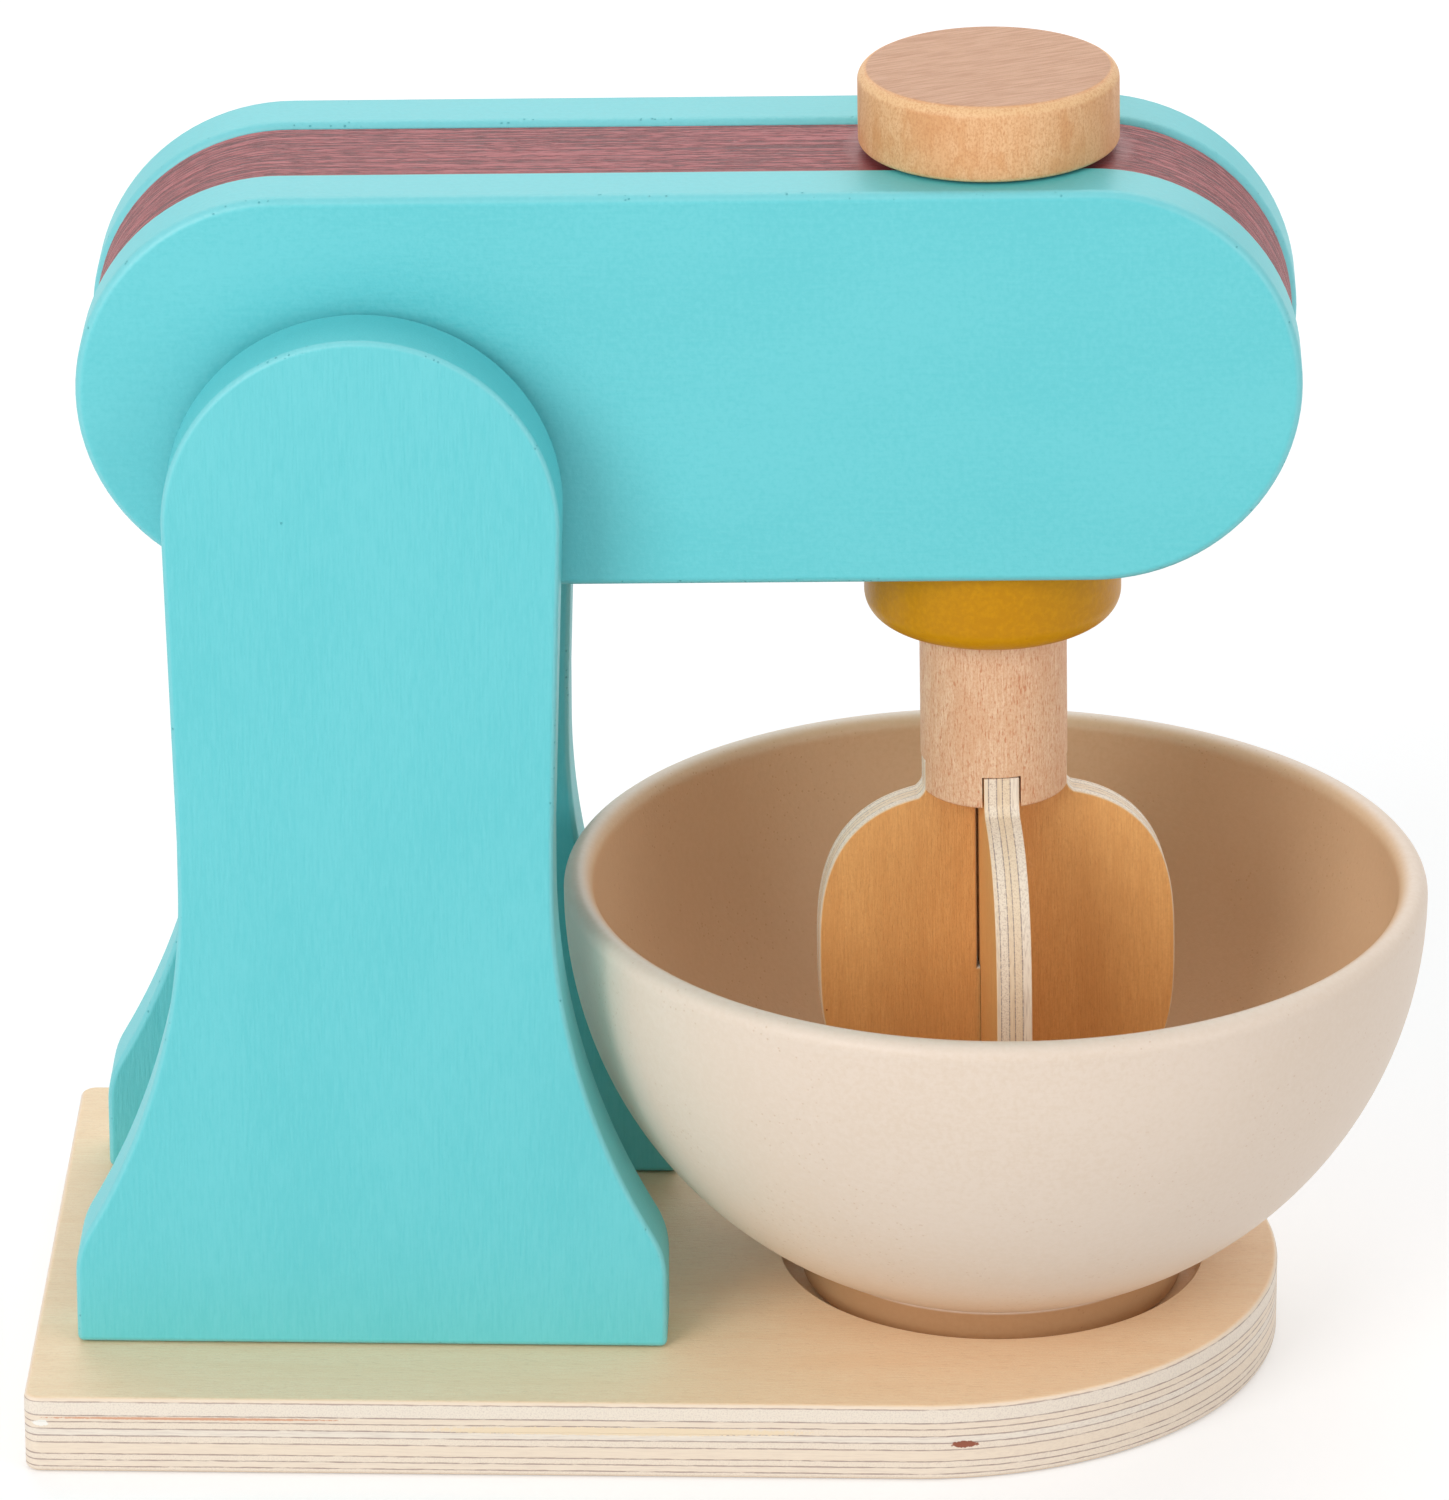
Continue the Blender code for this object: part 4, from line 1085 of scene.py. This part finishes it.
# The bowl.
def make_bowl():
    low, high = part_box("bowl")
    radius = (high.x - low.x) / 2
    height = high.z - low.z
    widest = height - BOWL_WIDEST_BELOW_RIM
    lip = BOWL_WALL / 2
    outer_end = math.acos(BOWL_FOOT_RADIUS / radius)
    outer_depth = (widest - BOWL_FOOT_HEIGHT) / math.sin(outer_end)

    def wall(across, depth, end):
        """Part of an ellipse, from the widest place down."""
        angles = [end * i / END_STEPS for i in range(END_STEPS + 1)]
        return [(across * math.cos(a), widest - depth * math.sin(a)) for a in angles]

    outer = wall(radius, outer_depth, outer_end)
    inner = wall(radius - BOWL_WALL, widest - BOWL_FLOOR_THICKNESS, math.pi / 2)
    over = arc((radius - lip, height - lip), lip, 180, 0, 2 * ROUND_STEPS)
    arris = arc((BOWL_FOOT_RADIUS - BOWL_FOOT_ARRIS, BOWL_FOOT_ARRIS), BOWL_FOOT_ARRIS, 0, -90, 4)
    ring = BOWL_FOOT_RADIUS - BOWL_WALL
    under = [(ring, 0.0), (ring - BOWL_FOOT_HOLLOW, BOWL_FOOT_HOLLOW), (0.0, BOWL_FOOT_HOLLOW)]
    profile = [(0.0, BOWL_FLOOR_THICKNESS)] + inner[-2::-1] + over + outer + arris + under
    bowl = turn_on_lathe("bowl_turned", profile, BOWL_STEPS)
    put(bowl, foot_of("bowl"), "bowl", BOWL_PAINT, "bowl")


# The studio.
CAMERA_FROM_BASE_END = Vector((166.963, -1752.635, 854.906)) * MM
CAMERA_YAW = -0.0232
CAMERA_PITCH = 0.39912
CAMERA_ROLL = -0.00047
FOCAL_PIXELS = 10338.97
PHOTO_HEIGHT = 1500
SENSOR_WIDTH = 36.0
AMBIENT = 0.55
FLOOR_SIZE = 12.0
FLOOR_DROP = 0.2 * MM
FLOOR_TONE = 0.75
FLOOR_GLOW = 0.35
FAR_FLOOR_GLOW = 0.7
# Each softbox has a name, a place, a size in metres and a power in watts.
SOFTBOXES = (
    ("key_left", (-1.1, -1.5, 0.9), (1.1, 1.1), 18.0),
    ("fill_right", (1.5, -1.2, 0.7), (1.2, 1.2), 7.0),
    ("top_back", (0.1, 0.9, 1.5), (1.6, 0.9), 6.5),
    ("behind", (0.0, 2.2, 1.15), (3.0, 0.8), 8.0),
)
LAMPS_FACE = Vector((0.0, 0.0, 0.1))


def make_camera():
    ahead = Vector((
        math.sin(CAMERA_YAW) * math.cos(CAMERA_PITCH),
        math.cos(CAMERA_YAW) * math.cos(CAMERA_PITCH),
        -math.sin(CAMERA_PITCH),
    ))
    right = Vector((math.cos(CAMERA_YAW), -math.sin(CAMERA_YAW), 0.0))
    up = right.cross(ahead)
    right_rolled = math.cos(CAMERA_ROLL) * right + math.sin(CAMERA_ROLL) * up
    up_rolled = math.cos(CAMERA_ROLL) * up - math.sin(CAMERA_ROLL) * right
    lens = bpy.data.cameras.new("photo_camera")
    lens.sensor_width = SENSOR_WIDTH
    lens.lens = FOCAL_PIXELS * SENSOR_WIDTH / PHOTO_HEIGHT
    lens.clip_end = 20.0
    camera = bpy.data.objects.new("photo_camera", lens)
    bpy.context.scene.collection.objects.link(camera)
    turned = Matrix((right_rolled, up_rolled, -ahead)).transposed().to_4x4()
    base_end = Vector((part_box("base_board")[0].x, 0.0, 0.0))
    camera.matrix_world = Matrix.Translation(CAMERA_FROM_BASE_END + base_end) @ turned
    bpy.context.scene.camera = camera


def softbox(name, at, size, power):
    """A soft lamp that faces the object and isn't seen itself."""
    lamp = bpy.data.lights.new(name, "AREA")
    lamp.shape = "RECTANGLE"
    lamp.size, lamp.size_y = size
    lamp.energy = power
    holder = bpy.data.objects.new(name, lamp)
    bpy.context.scene.collection.objects.link(holder)
    holder.visible_camera = False
    holder.location = at
    holder.rotation_euler = (LAMPS_FACE - Vector(at)).to_track_quat("-Z", "Y").to_euler()


def seen_directly(tree):
    """1 for rays from the camera, and for those that metal or glass sends on."""
    path = new_node(tree, "ShaderNodeLightPath")
    seen = maths(tree, "MAXIMUM", path.outputs["Is Camera Ray"], path.outputs["Is Glossy Ray"])
    return maths(tree, "MAXIMUM", seen, path.outputs["Is Transmission Ray"])


def make_backdrop():
    world = bpy.data.worlds.new("studio")
    world.use_nodes = True
    tree = world.node_tree
    backdrop = tree.nodes["Background"]
    backdrop.inputs["Color"].default_value = (1.0, 1.0, 1.0, 1.0)
    strength = ramp(tree, seen_directly(tree), 0.0, 1.0, AMBIENT, 1.0)
    tree.links.new(strength, backdrop.inputs["Strength"])
    bpy.context.scene.world = world


def make_floor():
    """A pale floor that keeps the shadow, glows white further off, and is clear from below."""
    deselect()
    bpy.ops.mesh.primitive_plane_add(size=FLOOR_SIZE, location=(0.0, 0.0, -FLOOR_DROP))
    floor = bpy.context.object
    floor.name = "floor"
    material = bpy.data.materials.new("pale floor")
    material.use_nodes = True
    tree = material.node_tree
    tree.nodes.clear()
    matte = new_node(tree, "ShaderNodeBsdfDiffuse")
    matte.inputs["Color"].default_value = (FLOOR_TONE, FLOOR_TONE, FLOOR_TONE, 1.0)
    away = vector_of(tree, "LENGTH", new_node(tree, "ShaderNodeTexCoord").outputs["Object"])
    brighter = ramp(tree, away, 0.5, 2.5, FLOOR_GLOW, FAR_FLOOR_GLOW)
    glow = new_node(tree, "ShaderNodeEmission")
    tree.links.new(times(tree, seen_directly(tree), brighter), glow.inputs["Strength"])
    both = new_node(tree, "ShaderNodeAddShader")
    tree.links.new(matte.outputs[0], both.inputs[0])
    tree.links.new(glow.outputs[0], both.inputs[1])
    clear = new_node(tree, "ShaderNodeBsdfTransparent")
    from_below = new_node(tree, "ShaderNodeMixShader")
    tree.links.new(new_node(tree, "ShaderNodeNewGeometry").outputs["Backfacing"], from_below.inputs[0])
    tree.links.new(both.outputs[0], from_below.inputs[1])
    tree.links.new(clear.outputs[0], from_below.inputs[2])
    end = new_node(tree, "ShaderNodeOutputMaterial")
    tree.links.new(from_below.outputs[0], end.inputs["Surface"])
    floor.data.materials.append(material)


make_base()
make_uprights()
make_cross_dowels()
make_washers()
make_screws()
make_head()
make_drive()
make_whisk()
make_bowl()
make_camera()
make_backdrop()
make_floor()
for lamp in SOFTBOXES:
    softbox(*lamp)
bpy.context.scene.view_settings.view_transform = "Standard"
deselect()
